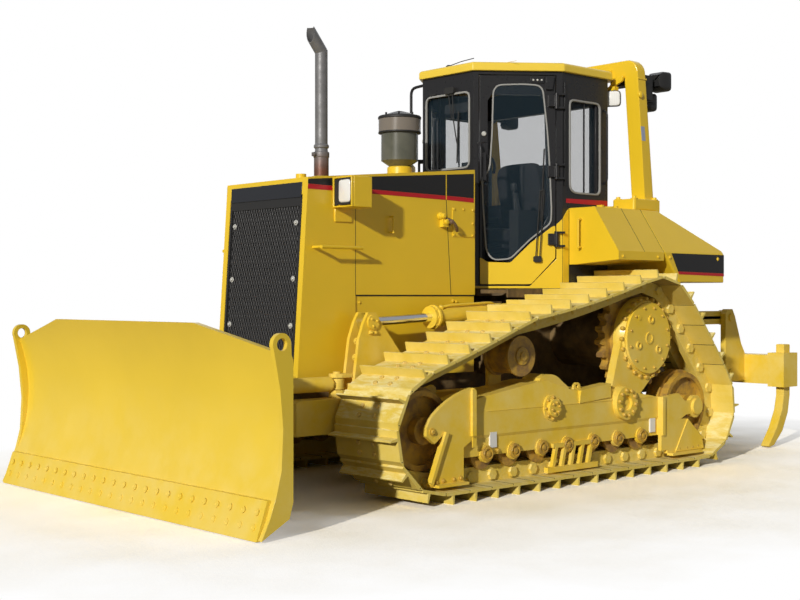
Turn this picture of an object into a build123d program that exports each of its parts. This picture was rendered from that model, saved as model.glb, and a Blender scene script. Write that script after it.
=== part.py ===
from build123d import *
import math
import os

# Crawler bulldozer with a six-way blade on an inside C-frame, a high final
# drive, an enclosed cab and a parallelogram ripper.
# Millimetres. +X is forward, +Y is the operator's left, +Z is up, and z = 0
# is the ground under the track shoes' grousers.
# While it is modelled, x is measured from between the two idlers. Every
# finished piece is then moved by DATUM_X, so that x = 0 lies under the middle
# of the machine's overall length.
DATUM_X = 135.0

# ---- running gear ---------------------------------------------------------
TRACK_Y = 945.0            # middle of a track from the machine's middle
SHOE_WIDTH = 560.0
SHOE_THICKNESS = 18.0
GROUSER_HEIGHT = 55.0
GROUSER_WIDTH = 20.0       # at the grouser's root
SHOE_GAP = 8.0             # between the edges of two shoes
PITCH_AIM = 190.0          # the chain's pitch, before it is made to fit the loop
LINK_HEIGHT = 100.0
LINK_WIDTH = 46.0
LINK_MIDDLE = 66.0         # middle of a link strand from the middle of the chain
LINK_NOTCH = 20.0          # rounding of a link's ends, as room for the bend
BUSHING_RADIUS = 30.0
PIN_TO_SHOE = 42.0         # pin line to the shoe's underside
PIN_BOSS = 18.0            # how far a pin's boss stands out of the link
PIN_BOSS_RADIUS = 35.0

IDLER_FRONT_X = 1300.0
IDLER_REAR_X = -1375.0
IDLER_TREAD_RADIUS = 242.0
CARRIER_X = 430.0
CARRIER_Z = 850.0
CARRIER_RADIUS = 115.0
SPROCKET_X = -860.0
SPROCKET_Z = 940.0
SPROCKET_PIN_RADIUS = 380.0
SPROCKET_TEETH = 25
SAG_REAR = 22.0            # sag of the chain between sprocket and carrier roller
SAG_FRONT = 10.0           # and between carrier roller and front idler
ROLLER_RADIUS = 84.0
ROLLER_HALF = 109.0
ROLLER_FLANGE = 16.0       # width of each flange, outside the chain's links
ROLLER_XS = [800, 550, 280, 30, -240, -505, -770]
RUNNING_GAP = 0.3          # between curved faces that run on one another

PIN_TO_RAIL = LINK_HEIGHT - PIN_TO_SHOE
PIN_TO_FACE = PIN_TO_SHOE + SHOE_THICKNESS
CHAIN_Z = GROUSER_HEIGHT + PIN_TO_FACE       # pin line along the ground
RAIL_Z = CHAIN_Z + PIN_TO_RAIL               # what the rollers run on
# a flat link touches a wheel at its own middle, so its pins lie further out
IDLER_PIN_RADIUS = math.hypot(IDLER_TREAD_RADIUS + RUNNING_GAP + PIN_TO_RAIL, PITCH_AIM / 2)
IDLER_Z = CHAIN_Z + IDLER_PIN_RADIUS
ROLLER_Z = RAIL_Z + RUNNING_GAP + ROLLER_RADIUS
CARRIER_PIN_RADIUS = math.hypot(CARRIER_RADIUS + RUNNING_GAP + PIN_TO_RAIL, PITCH_AIM / 2)

# ---- track frame ----------------------------------------------------------
FRAME_HALF = 155.0         # half width of the box over the rollers
FRAME_INNER_Y = TRACK_Y - FRAME_HALF
FRAME_OUTER_Y = TRACK_Y + FRAME_HALF
FRAME_WALL = 24.0
FRAME_BOTTOM_Z = 246.0
FRAME_SEAM_Z = 525.0          # above this the box's outer side leans in
RECOIL_CAP = (190.0, 508.0)   # x, z of the bolted cap on the recoil unit
GUARD_BAR_Z = 86.0            # underside of the guard that hangs beside the middle rollers
TUNNEL_TOP_Z = 372.0
YOKE_PLATE = 30.0          # plates beside the idlers

# ---- main frame and what stands on it -------------------------------------
CASE_HALF = 360.0          # half width of the rear case and main frame
CASE_REAR_X = -1450.0
CASE_TOP_Z = 1240.0
PIVOT_SHAFT_X = -560.0
PIVOT_SHAFT_Z = 500.0
EQUALIZER_X = 300.0
EQUALIZER_Z = 288.0

HOOD_HALF = 430.0
HOOD_REAR_X = 220.0
HOOD_FRONT_X = 1300.0
HOOD_SEAM_Z = 1245.0
HOOD_TOP_REAR_Z = 2107.0
HOOD_TOP_FRONT_Z = 1968.0
GUARD_TOP_X = 1680.0
GUARD_FOOT_X = 1765.0
GUARD_FOOT_Z = 715.0
SHEET = 22.0
ENGINE_TOP_Z = 1750.0
STACK_X = 1230.0
STACK_RADIUS = 42.0
STACK_FOOT_RADIUS = 49.0
STACK_TOP_Z = 3000.0
PRECLEANER_X = 530.0
PRECLEANER_NECK = 70.0
PRECLEANER_RADIUS = 147.0

# ---- cab ------------------------------------------------------------------
CAB_FRONT_X = 60.0
CAB_FRONT_HALF = 262.0
CAB_CORNER_X = -440.0      # where the door ends and the side window begins
CAB_TO_TRACK = 10.0        # free space between the cab's side and a track
CAB_HALF = TRACK_Y - SHOE_WIDTH / 2 - CAB_TO_TRACK
CAB_REAR_X = -950.0
CAB_WALL = 50.0
CAB_FLOOR_Z = 1290.0
CAB_TOP_Z = 2830.0
ROOF_THICKNESS = 62.0
ROOF_OVERHANG = 26.0
GLASS = 6.0
DOOR_BOTTOM_Z = 1318.0
DOOR_TOP_Z = 2800.0
DOOR_GAP = 6.0
DOOR_POST = 42.0           # door post kept at the cab's front corner
DOOR_HINGE_POST = 50.0     # and at the corner behind the door
DOOR_SLANT_RUN = 175.0     # the door's lower rear corner is cut off over the track
DOOR_SLANT_TOP_Z = 1505.0
DOOR_THICKNESS = 44.0
HINGE_ZS = [1640.0, 2120.0, 2620.0]
HINGE_OUT = 22.0           # hinge line outside the door's face
HINGE_PIN_RADIUS = 9.0
HINGE_KNUCKLE_RADIUS = 17.0
HINGE_KNUCKLE = 40.0       # half height of the door's knuckle

# ---- rear -----------------------------------------------------------------
STEP_OUTER_Y = CAB_HALF - 8    # outer edge of the step under a door, inside the track
FENDER_FRONT_X = -510.0
ROPS_FRONT_X = -1078.0      # the roll-over frame's top beam, which its leaning posts carry
ROPS_REAR_X = -1175.0
ROPS_TOP_Z = CAB_TOP_Z + 152
TANK_FRONT_X = -1030.0
TANK_BREAK_X = -1240.0     # where the tank's top begins to slope down
TANK_REAR_X = -1785.0
FENDER_OUTER_Y = FRAME_OUTER_Y
FENDER_SHOULDER_Y = CAB_HALF + 234.0
FENDER_TOP_Z = 1865.0
FENDER_EDGE_Z = 1550.0
TANK_BOTTOM_Z = 1338.0

# ---- C-frame and blade ----------------------------------------------------
LIFT_PIVOT = (-200.0, 500.0)          # x, z of the C-frame's pivot
TOWER_PIN = (1330.0, 1075.0)          # x, z of the lift cylinder's rod pin
LIFT_BASE = (50.0, 1130.0)            # x, z of the lift cylinder's base pin
ARM_Y = 570.0
ARM_HALF = 64.0
ARM_BEND_X = 1930.0                   # where the arms turn in to the nose
ARM_TOP_Z = 615.0
ARM_BOTTOM_Z = 405.0
ANGLE_PIVOT_X = 2250.0
ANGLE_BASE = (1560.0, 560.0)          # x, y of the angle cylinder's base pin
ANGLE_PIN = (2420.0, 520.0)           # x, y of its rod pin
ANGLE_Z = 700.0
LIFT_CLOSING = 225.0                  # how far each rod slides in from rest
ANGLE_CLOSING = 213.0
TILT_CLOSING = 55.0
RIPPER_CLOSING = 188.0
BARREL_WALL = 9.0
GLAND = 40.0                          # length of a barrel's end cap
PISTON = 28.0
TILT_Z = 480.0
TILT_BASE = (-120.0, 900.0)           # y, z of the tilt cylinder's base pin
TILT_PIN = (600.0, 900.0)             # y, z of its rod pin
TILT_X = 2478.0

BLADE_HALF = 1445.0
BLADE_END_Z = 950.0
BLADE_TOP_Z = 1092.0
BLADE_FLAT_HALF = 770.0
BLADE_EDGE_X = 2790.0
BLADE_BELLY_Z = 560.0                 # where the curved plate lies deepest
BLADE_PLATE = 40.0
HUB_REAR_X = 2480.0                   # bearing on the blade's back that takes the tilt trunnion
HUB_HOLE_X = 2528.0
BLADE_CLEAR_Z = 4.0                   # cutting edge above the ground

# ---- ripper ---------------------------------------------------------------
RIPPER_LOWER = (-1720.0, 600.0)       # x, z of the lower link's front pin
RIPPER_UPPER = (-1720.0, 1060.0)      # and of the upper link's
LINK_LENGTH = 940.0
RIPPER_CYL_BASE = (-1680.0, 1080.0)
RIPPER_CYL_PIN = (-2760.0, 660.0)
BEAM_HALF = 960.0
SHANK_YS = [-890.0, 0.0, 890.0]
SHANK_DEPTHS = (255.0, 345.0)          # front and back of a shank behind the lower link's rear pin

AXES = {"x": Vector(1, 0, 0), "y": Vector(0, 1, 0), "z": Vector(0, 0, 1)}


# ---- shapes ---------------------------------------------------------------
def box(x0, x1, y0, y1, z0, z1):
    size = (x1 - x0, y1 - y0, z1 - z0)
    return Pos((x0 + x1) / 2, (y0 + y1) / 2, (z0 + z1) / 2) * Box(*size)


def place(plane, u, v, w):
    """Point from two coordinates in a plane and one across it."""
    return {"xz": (u, w, v), "yz": (w, u, v), "xy": (u, v, w)}[plane]


def prism(plane, points, low, high):
    """Straight-sided outline in a plane, drawn out from low to high across it."""
    across = {"xz": AXES["y"], "yz": AXES["x"], "xy": AXES["z"]}[plane]
    wire = Wire.make_polygon([place(plane, u, v, low) for u, v in points], close=True)
    return extrude(Face(wire), amount=high - low, dir=across)


def rod(start, end, radius):
    """Round bar between two points."""
    start, end = Vector(*start), Vector(*end)
    along = end - start
    return extrude(Plane(start, z_dir=along) * Circle(radius), amount=along.length)


def disc(axis, center, radius, low, high):
    """Round piece across one of the main axes; center is in the other two."""
    plane = {"x": "yz", "y": "xz", "z": "xy"}[axis]
    return rod(place(plane, *center, low), place(plane, *center, high), radius)


def plate(plane, outline, low, high):
    """Flat piece whose outline may be curved, drawn out from low to high.

    A corner of two numbers is reached by a straight line, one of four numbers
    by an arc through its first two numbers to its last two.
    """
    across = {"xz": AXES["y"], "yz": AXES["x"], "xy": AXES["z"]}[plane]
    start = Vector(*place(plane, *outline[0], low))
    edges = []
    for corner in outline[1:] + [outline[0]]:
        end = Vector(*place(plane, *corner[-2:], low))
        if len(corner) == 4:
            edges.append(ThreePointArc(start, Vector(*place(plane, *corner[:2], low)), end).edge())
        elif (end - start).length > 0.01:
            edges.append(Line(start, end).edge())
        start = end
    return extrude(Face(Wire(edges)), amount=high - low, dir=across)


def turned(axis, center, profile):
    """Solid of revolution about a line along y or z; profile is (radius, place along it)."""
    if axis == "z":
        corners = [(0, 0, profile[0][1])] + [(r, 0, w) for r, w in profile] + [(0, 0, profile[-1][1])]
        shift, turn = Pos(center[0], center[1], 0), Axis.Z
    else:
        corners = [(0, profile[0][1], 0)] + [(r, w, 0) for r, w in profile] + [(0, profile[-1][1], 0)]
        shift, turn = Pos(center[0], 0, center[1]), Axis.Y
    return shift * revolve(Face(Wire.make_polygon(corners, close=True)), turn, 360)


def ring_of(sides, center, radius):
    """Corners of a regular polygon."""
    x, z = center
    turns = [2 * math.pi * i / sides for i in range(sides)]
    return [(x + radius * math.cos(a), z + radius * math.sin(a)) for a in turns]


def mirrored(shape):
    return mirror(shape, about=Plane.XZ)


def both(shapes):
    return list(shapes) + [mirrored(shape) for shape in shapes]


def fuse(pieces):
    whole = pieces[0]
    for piece in pieces[1:]:
        whole = whole + piece
    return whole


def save(name, pieces):
    if not isinstance(pieces, list):
        pieces = [pieces]
    solids = [solid for piece in pieces for solid in piece.solids()]
    moved = [Pos(DATUM_X, 0, 0) * solid for solid in solids]
    export_step(Compound(children=moved), "parts/" + name + ".step")


# ---- track loop -----------------------------------------------------------
def belt(wheels, sags):
    """Points and outward directions of the pin line round the wheels.

    Each wheel is (x, z, pin radius), in order round the loop, which runs
    clockwise seen from the machine's left. Each sag belongs to the run that
    leaves its wheel.
    """
    runs = []
    for i, (x0, z0, r0) in enumerate(wheels):
        x1, z1, r1 = wheels[(i + 1) % len(wheels)]
        heading = math.atan2(z1 - z0, x1 - x0)
        lean = math.asin((r0 - r1) / math.hypot(x1 - x0, z1 - z0))
        runs.append(heading + math.pi / 2 - lean)
    path = []
    for i, (x, z, r) in enumerate(wheels):
        begin, finish = runs[i - 1], runs[i]
        while finish > begin:
            finish -= 2 * math.pi
        path.append(("arc", x, z, r, begin, finish))
        nx, nz, nr = wheels[(i + 1) % len(wheels)]
        p0 = (x + r * math.cos(finish), z + r * math.sin(finish))
        p1 = (nx + nr * math.cos(finish), nz + nr * math.sin(finish))
        path.append(("run", p0, p1, finish, sags[i]))
    return path


def length_of(piece):
    if piece[0] == "arc":
        return piece[3] * (piece[4] - piece[5])
    return math.dist(piece[1], piece[2])


def along_belt(path, distance):
    """Point on the pin line at a distance from the loop's start."""
    distance %= sum(length_of(piece) for piece in path)
    for piece in path:
        reach = length_of(piece)
        if distance <= reach:
            break
        distance -= reach
    share = distance / reach
    if piece[0] == "arc":
        _, x, z, r, begin, finish = piece
        angle = begin + (finish - begin) * share
        return x + r * math.cos(angle), z + r * math.sin(angle)
    _, p0, p1, angle, sag = piece
    drop = 4 * sag * share * (1 - share)
    return (p0[0] + (p1[0] - p0[0]) * share, p0[1] + (p1[1] - p0[1]) * share - drop)


def chain_pins():
    """Pins of the chain, the first of them at the top of the sprocket."""
    wheels = [
        (SPROCKET_X, SPROCKET_Z, SPROCKET_PIN_RADIUS),
        (CARRIER_X, CARRIER_Z, CARRIER_PIN_RADIUS),
        (IDLER_FRONT_X, IDLER_Z, IDLER_PIN_RADIUS),
        (IDLER_REAR_X, IDLER_Z, IDLER_PIN_RADIUS),
    ]
    path = belt(wheels, [SAG_REAR, SAG_FRONT, 0, 0])
    total = sum(length_of(piece) for piece in path)
    count = round(total / PITCH_AIM)
    top = path[0][3] * (path[0][4] - math.pi / 2)
    return [along_belt(path, top + total * i / count) for i in range(count)]


def shoe_frames(pins):
    """Middle, direction and outward normal of each shoe, between two pins."""
    frames = []
    for i, (x0, z0) in enumerate(pins):
        x1, z1 = pins[(i + 1) % len(pins)]
        reach = math.dist((x0, z0), (x1, z1))
        tx, tz = (x1 - x0) / reach, (z1 - z0) / reach
        frames.append(((x0 + x1) / 2, (z0 + z1) / 2, tx, tz, reach))
    return frames


def ring_outline(frames, profile):
    """Closed outline that repeats a profile of (along, outward) points."""
    points = []
    for x, z, tx, tz, reach in frames:
        for along, outward in profile(reach):
            points.append((x + tx * along - tz * outward, z + tz * along + tx * outward))
    return points


def shoe_profile(reach):
    half = (reach - SHOE_GAP) / 2
    low, high = PIN_TO_SHOE, PIN_TO_FACE
    root = -half + 3 * GROUSER_WIDTH
    tip = high + GROUSER_HEIGHT
    return [
        (-half - SHOE_GAP / 2, low + 4),
        (-half, high),
        (root - GROUSER_WIDTH, high),
        (root - GROUSER_WIDTH * 0.7, tip),
        (root - GROUSER_WIDTH * 0.2, tip),
        (root, high),
        (half, high),
    ]


def rail_profile(reach):
    half = reach / 2 - LINK_NOTCH
    return [(-half, -PIN_TO_RAIL), (half, -PIN_TO_RAIL)]


def make_track(pins):
    frames = shoe_frames(pins)
    outer = ring_outline(frames, shoe_profile)
    inner = ring_outline(frames, lambda reach: [(-reach / 2, PIN_TO_SHOE)])
    rails = ring_outline(frames, rail_profile)
    y0, y1 = TRACK_Y - SHOE_WIDTH / 2, TRACK_Y + SHOE_WIDTH / 2
    shoes = prism("xz", outer, y0, y1) - prism("xz", inner, y0 - 1, y1 + 1)
    track = shoes
    for middle in (-LINK_MIDDLE, LINK_MIDDLE):
        low = TRACK_Y + middle - LINK_WIDTH / 2
        high = low + LINK_WIDTH
        strand = prism("xz", inner, low, high) - prism("xz", rails, low - 1, high + 1)
        track = track + strand
    face = TRACK_Y + LINK_MIDDLE + LINK_WIDTH / 2
    return track + [prism("xz", ring_of(6, pin, PIN_BOSS_RADIUS), face - 2, face + PIN_BOSS) for pin in pins]


# ---- wheels of the running gear -------------------------------------------
def make_sprocket():
    valley = SPROCKET_PIN_RADIUS - BUSHING_RADIUS - 6
    tip = SPROCKET_PIN_RADIUS + 4
    step = 2 * math.pi / SPROCKET_TEETH
    points = []
    for i in range(SPROCKET_TEETH):
        middle = math.pi / 2 + (i + 0.5) * step
        for offset, radius in ((-0.34, valley), (-0.13, tip), (0.13, tip), (0.34, valley)):
            angle = middle + offset * step
            points.append((SPROCKET_X + radius * math.cos(angle), SPROCKET_Z + radius * math.sin(angle)))
    half = LINK_MIDDLE - LINK_WIDTH / 2 - 12
    rim = prism("xz", points, TRACK_Y - half, TRACK_Y + half)
    hub = disc("y", (SPROCKET_X, SPROCKET_Z), 292, TRACK_Y - 60, TRACK_Y + 60)
    return rim + hub


def make_idler(x):
    tread = disc("y", (x, IDLER_Z), IDLER_TREAD_RADIUS, TRACK_Y - 95, TRACK_Y + 95)
    flange_half = LINK_MIDDLE - LINK_WIDTH / 2 - 6
    flange = disc("y", (x, IDLER_Z), IDLER_TREAD_RADIUS + 22, TRACK_Y - flange_half, TRACK_Y + flange_half)
    idler = tread + flange
    for side in (-1, 1):
        face = TRACK_Y + side * 95
        inside = TRACK_Y + side * 55
        idler = idler - disc("y", (x, IDLER_Z), IDLER_TREAD_RADIUS - 34, inside, face + side)
        idler = idler + disc("y", (x, IDLER_Z), 82, inside, TRACK_Y + side * 118)
        idler = idler + disc("y", (x, IDLER_Z), 40, inside, TRACK_Y + side * FRAME_HALF)
    return idler


def make_roller(x, z, radius):
    roller = disc("y", (x, z), radius, TRACK_Y - ROLLER_HALF, TRACK_Y + ROLLER_HALF)
    for side in (-1, 1):
        edge = TRACK_Y + side * ROLLER_HALF
        roller = roller + disc("y", (x, z), radius + 16, edge, edge - side * ROLLER_FLANGE)
    return roller


def make_bottom_roller(x):
    roller = make_roller(x, ROLLER_Z, ROLLER_RADIUS)
    inner, outer = FRAME_INNER_Y + FRAME_WALL, FRAME_OUTER_Y - FRAME_WALL
    return roller + disc("y", (x, ROLLER_Z), 46, inner, outer)


def frame_side():
    """Outline of a track frame's box in side view."""
    front, rear = IDLER_FRONT_X - 290, IDLER_REAR_X + 345
    return [(front, FRAME_BOTTOM_Z), (front, 560), (840, 606), (250, 684), (200, 684), (-40, 612),
            (-470, 600),
            (-900, 530), (rear, 500), (rear, FRAME_BOTTOM_Z)]


def guard_outlines():
    """Outlines of the plates beside the idlers, which carry their axles, and of what stands on them."""
    x, z = IDLER_FRONT_X, IDLER_Z
    front_plate = [(x - 360, z + 228), (x - 338, z + 246), (x - 140, z + 180, x + 12, z + 76),
                   (x + 45, z + 25),
                   (x + 45, z - 25), (x - 22, z - 74), (x - 111, z - 12), (x + 18, z - 312), (x + 5, z - 330),
                   (x - 266, z - 330), (x - 266, z - 113), (x - 352, z - 69), (x - 360, z - 50)]
    bar = [(x - 125, z - 14), (x - 100, z - 6), (x + 24, z - 300), (x + 8, z - 318)]
    rim = [(x - 360, z - 50), (x - 360, z + 228), (x - 338, z + 246), (x - 326, z + 234), (x - 326, z - 50)]
    front_foot = (x - 268, x - 12, z - 332, z - 316)
    x = IDLER_REAR_X
    rear_plate = [(x + 415, z + 80), (x + 373, z + 92), (x + 207, z + 105), (x + 132, z + 45), (x, z + 45),
                  (x, z - 45),
                  (x + 123, z - 55), (x + 189, z - 84), (x + 263, z - 178), (x + 337, z - 293),
                  (x + 415, z - 293)]
    corner = [(x + 104, z - 84), (x - 68, z - 224), (x - 94, z - 312), (x - 85, z - 318), (x + 345, z - 318),
              (x + 345, z - 285), (x + 270, z - 178), (x + 196, z - 80)]
    triangle = corner[:3] + [(x + 255, z - 312)]
    rear_foot = (x - 22, x + 340, z - 332, z - 314)
    return front_plate, bar, rim, front_foot, rear_plate, corner, triangle, rear_foot


def make_track_frame():
    outline = frame_side()
    rear, front = outline[-1][0], outline[0][0]
    inner, outer = FRAME_INNER_Y, FRAME_OUTER_Y
    section = [(inner, FRAME_BOTTOM_Z), (inner, 800), (outer - 60, 800), (outer, FRAME_SEAM_Z),
               (outer, FRAME_SEAM_Z - 150),
               (outer - 10, FRAME_SEAM_Z - 170), (outer - 10, FRAME_BOTTOM_Z)]
    frame = prism("xz", outline, inner, outer) & prism("yz", section, rear, front)
    tunnel = box(rear - 1, front + 1, inner + FRAME_WALL, outer - FRAME_WALL, 0, TUNNEL_TOP_Z)
    frame = frame - tunnel
    front_plate, bar, rim, front_foot, rear_plate, corner, triangle, rear_foot = guard_outlines()
    added = []
    for low in (inner - YOKE_PLATE, outer):
        high = low + YOKE_PLATE
        added.append(plate("xz", front_plate, low, high))
        added.append(prism("xz", rear_plate, low, high) + disc("y", (IDLER_REAR_X, IDLER_Z), 82, low, high))
        added.append(prism("xz", corner, low, high))
    # ribs, rims and bolted feet of the outer plates
    face = outer + YOKE_PLATE
    added += [prism("xz", bar, face - 2, face + 20), prism("xz", rim, face - 2, face + 18)]
    added.append(prism("xz", triangle, face - 2, face + 8))
    added.append(disc("y", (IDLER_REAR_X, IDLER_Z), 58, face - 2, face + 22))
    for x0, x1, z0, z1 in (front_foot, rear_foot):
        added.append(box(x0, x1, face - 8, face + 46, z0, z1))
    added.append(box(rear + 40, rear + 70, outer - 12, outer + 44, FRAME_BOTTOM_Z, FRAME_SEAM_Z - 5))
    # caps of the pivot shaft and of the recoil unit, and the casting over it
    pivot = (PIVOT_SHAFT_X, PIVOT_SHAFT_Z)
    added.append(disc("y", pivot, 116, outer - 60, outer + 38))
    added.append(disc("y", RECOIL_CAP, 84, outer - 40, outer + 10))
    added.append(disc("y", RECOIL_CAP, 58, outer, outer + 36))
    dome = [(262, 660), (244, 700), (148, 722, 40, 680), (-40, 628), (-40, 590), (262, 590)]
    added.append(plate("xz", dome, TRACK_Y - 50, outer - 50))
    added.append(prism("xz", [(-85, 522), (-415, 545), (-415, 640), (-100, 605)], outer - 90, outer + 8))
    lug = prism("xz", [(-95, 600), (-105, 640), (-125, 655), (-150, 655), (-168, 640), (-175, 600)],
                outer - 74, outer - 58)
    added.append(lug - disc("y", (-137, 630), 13, outer - 80, outer - 50))
    # collars that hold the ends of the roller shafts
    for x in ROLLER_XS:
        added.append(disc("y", (x, ROLLER_Z), 56, inner + 2, inner + FRAME_WALL))
        added.append(disc("y", (x, ROLLER_Z), 56, outer - FRAME_WALL, outer - 2))
    # guard over the middle rollers
    added.append(box(-262, 250, outer - 14, outer + 20, GUARD_BAR_Z, GUARD_BAR_Z + 36))
    added.append(box(-225, 185, outer - 16, outer + 12, FRAME_BOTTOM_Z - 2, FRAME_BOTTOM_Z + 26))
    for x in (150, 60, -30, -120, -210):
        rib = [(x - 13, FRAME_BOTTOM_Z + 5), (x + 13, FRAME_BOTTOM_Z + 5), (x + 50, GUARD_BAR_Z + 20),
               (x + 24, GUARD_BAR_Z + 20)]
        added.append(prism("xz", rib, outer - 14, outer + 12))
    # upright that carries the carrier roller
    added.append(box(CARRIER_X - 60, CARRIER_X + 60, inner, inner + 26, 640, CARRIER_Z + 50))
    added.append(disc("y", (CARRIER_X, CARRIER_Z), 34, inner, TRACK_Y - ROLLER_HALF))
    return (frame + added) - disc("y", pivot, 55, outer + 16, outer + 40)


def make_final_drive():
    """Housing outside the sprocket, with its cover and the arm that reaches down to the pivot shaft."""
    center = (SPROCKET_X, SPROCKET_Z)
    inside = TRACK_Y + 60
    housing = turned("y", center, [(292, inside), (292, inside + 22), (262, inside + 76), (252, inside + 76),
                                   (250, inside + 92)])
    housing = housing + disc("y", center, 42, inside, inside + 99) - disc("y", center, 30, inside + 93,
                                                                          inside + 100)
    for i in range(3):
        turn = math.radians(98 + 120 * i)
        boss = (SPROCKET_X + 132 * math.cos(turn), SPROCKET_Z + 132 * math.sin(turn))
        housing = housing + disc("y", boss, 28, inside, inside + 102) - disc("y", boss, 17, inside + 92,
                                                                             inside + 103)
    plug = (SPROCKET_X + 112, SPROCKET_Z + 145)
    housing = housing + disc("y", plug, 18, inside, inside + 98)
    # the arm is the shape that two round ends, of the sprocket's case and of the shaft's cap, span
    x0, z0, r0, x1, z1, r1 = SPROCKET_X, SPROCKET_Z, 262, PIVOT_SHAFT_X, PIVOT_SHAFT_Z, 112
    reach = math.hypot(x1 - x0, z1 - z0)
    heading, lean = math.atan2(z1 - z0, x1 - x0), math.acos((r0 - r1) / reach)
    corners = []
    for turn in (heading + lean, heading - lean):
        corners.append([(x + r * math.cos(turn), z + r * math.sin(turn)) for x, z,
                        r in ((x0, z0, r0), (x1, z1, r1))])
    (a, b), (d, c) = corners
    arm = prism("xz", [a, b, c, d], inside, inside + 62) - prism("xz", frame_side(), inside - 1, inside + 63)
    arm = arm - disc("y", (PIVOT_SHAFT_X, PIVOT_SHAFT_Z), 116, inside - 1, inside + 63)
    return housing + arm


def make_main_frame():
    case = prism("xz", [(CASE_REAR_X, 470), (CASE_REAR_X, 1160), (-1250, CASE_TOP_Z), (-300, CASE_TOP_Z),
                        (-200, 1000), (-200, 440), (-1300, 440)], -CASE_HALF, CASE_HALF)
    rails = box(-201, 1560, -CASE_HALF, CASE_HALF, 440, GUARD_FOOT_Z)
    rails = rails - box(-150, 1450, -CASE_HALF + 60, CASE_HALF - 60, 470, 900)
    nose = prism("xz", [(1450, 440), (1450, GUARD_FOOT_Z), (1700, GUARD_FOOT_Z), (1700, 640), (1560, 440)],
                 -CASE_HALF, CASE_HALF)
    axle = rod((SPROCKET_X, -TRACK_Y + 60, SPROCKET_Z), (SPROCKET_X, TRACK_Y - 60, SPROCKET_Z), 215)
    pivot = rod((PIVOT_SHAFT_X, -FRAME_INNER_Y, PIVOT_SHAFT_Z),
                (PIVOT_SHAFT_X, FRAME_INNER_Y, PIVOT_SHAFT_Z), 62)
    equalizer = rod((EQUALIZER_X, -FRAME_INNER_Y, EQUALIZER_Z), (EQUALIZER_X, FRAME_INNER_Y, EQUALIZER_Z), 42)
    saddle = box(EQUALIZER_X - 90, EQUALIZER_X + 90, -120, 120, EQUALIZER_Z - 20, 445)
    pillars = [box(-1240, -1060, y - 70, y + 70, CASE_TOP_Z - 2, TANK_BOTTOM_Z) for y in (-270, 270)]
    frame = fuse([case, rails, nose, axle, pivot, equalizer, saddle] + pillars)
    # trunnions that the C-frame's arms turn on
    x, z = LIFT_PIVOT
    trunnion = rod((x, -ARM_Y - ARM_HALF - 6, z), (x, ARM_Y + ARM_HALF + 6, z), 55)
    frame = frame + trunnion
    for side in (-1, 1):
        post = box(LIFT_BASE[0] - 90, LIFT_BASE[0] + 80, 400, 440, 700, 1200)
        arm = box(LIFT_BASE[0] - 90, LIFT_BASE[0] + 80, 300, 440, 700, 780)
        pin = disc("y", LIFT_BASE, 34, 440, ARM_Y + 40)
        mount = fuse([post, arm, pin])
        frame = frame + (mount if side > 0 else mirrored(mount))
    return frame


def make_hood():
    outline = [
        (HOOD_REAR_X, HOOD_SEAM_Z),
        (HOOD_REAR_X, HOOD_TOP_REAR_Z),
        (HOOD_FRONT_X, HOOD_TOP_FRONT_Z + (GUARD_TOP_X - HOOD_FRONT_X) * 0.095),
        (HOOD_FRONT_X, HOOD_SEAM_Z),
    ]
    hood = prism("xz", outline, -HOOD_HALF, HOOD_HALF)
    inside = [(x, z) if z == HOOD_SEAM_Z else (x, z - SHEET) for x, z in outline]
    inside = [(x + (-1 if x == HOOD_REAR_X else 1), z - (1 if z == HOOD_SEAM_Z else 0)) for x, z in inside]
    hood = hood - prism("xz", inside, -HOOD_HALF + SHEET, HOOD_HALF - SHEET)
    for x, radius in ((STACK_X, STACK_FOOT_RADIUS), (PRECLEANER_X, PRECLEANER_NECK)):
        hood = hood - disc("z", (x, 0), radius + 0.5, 1900, 2200)
    # seam of the service door, its latch and handle, and the bolted hatch behind
    groove = prism("xz", [(450, 1240), (454, 1240), (499, 1886), (495, 1886)], HOOD_HALF - 5, HOOD_HALF + 1)
    added = both([box(235, 440, HOOD_HALF - 2, HOOD_HALF + 5, 1640, 1836)])
    added += both([box(506, 556, HOOD_HALF - 2, HOOD_HALF + 34, 1700, 1762)])
    added += both(bow([(1007, 1650), (1007, 1750)], HOOD_HALF, 34, 7))
    return (hood - groove - mirrored(groove)) + added


def bow(feet, face, out, radius):
    """Bent bar handle on a wall square to y, between two feet given as (x, z)."""
    (x0, z0), (x1, z1) = feet
    outer = face + out
    legs = [rod((x, face - 2, z), (x, outer, z), radius - 1.5) for x, z in feet]
    overhang = radius / math.dist(*feet)
    run, rise = (x1 - x0) * overhang, (z1 - z0) * overhang
    return [fuse(legs + [rod((x0 - run, outer, z0 - rise), (x1 + run, outer, z1 + rise), radius)])]


def make_headlamp():
    """Lamp box on the hood's left side, with an oval lamp in a recess in its front."""
    outline = [(1400, 1790), (1400, 1945), (1680, 1945), (1680, 1780), (1410, 1780)]
    case = prism("xz", outline, HOOD_HALF, 700)
    case = case - box(1664, 1681, HOOD_HALF + 150, 688, 1794, 1931)
    lens = extrude(Plane((1655, 632, 1862), x_dir=(0, 1, 0), z_dir=(1, 0, 0)) * Ellipse(40, 58), amount=18)
    return case + lens


def make_side_panels():
    panel = prism("xz", [(HOOD_REAR_X, GUARD_FOOT_Z), (HOOD_REAR_X, HOOD_SEAM_Z - 3),
                         (HOOD_FRONT_X, HOOD_SEAM_Z - 3), (HOOD_FRONT_X, GUARD_FOOT_Z)],
                  HOOD_HALF - SHEET - 8, HOOD_HALF - 8)
    return both([panel])


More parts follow.
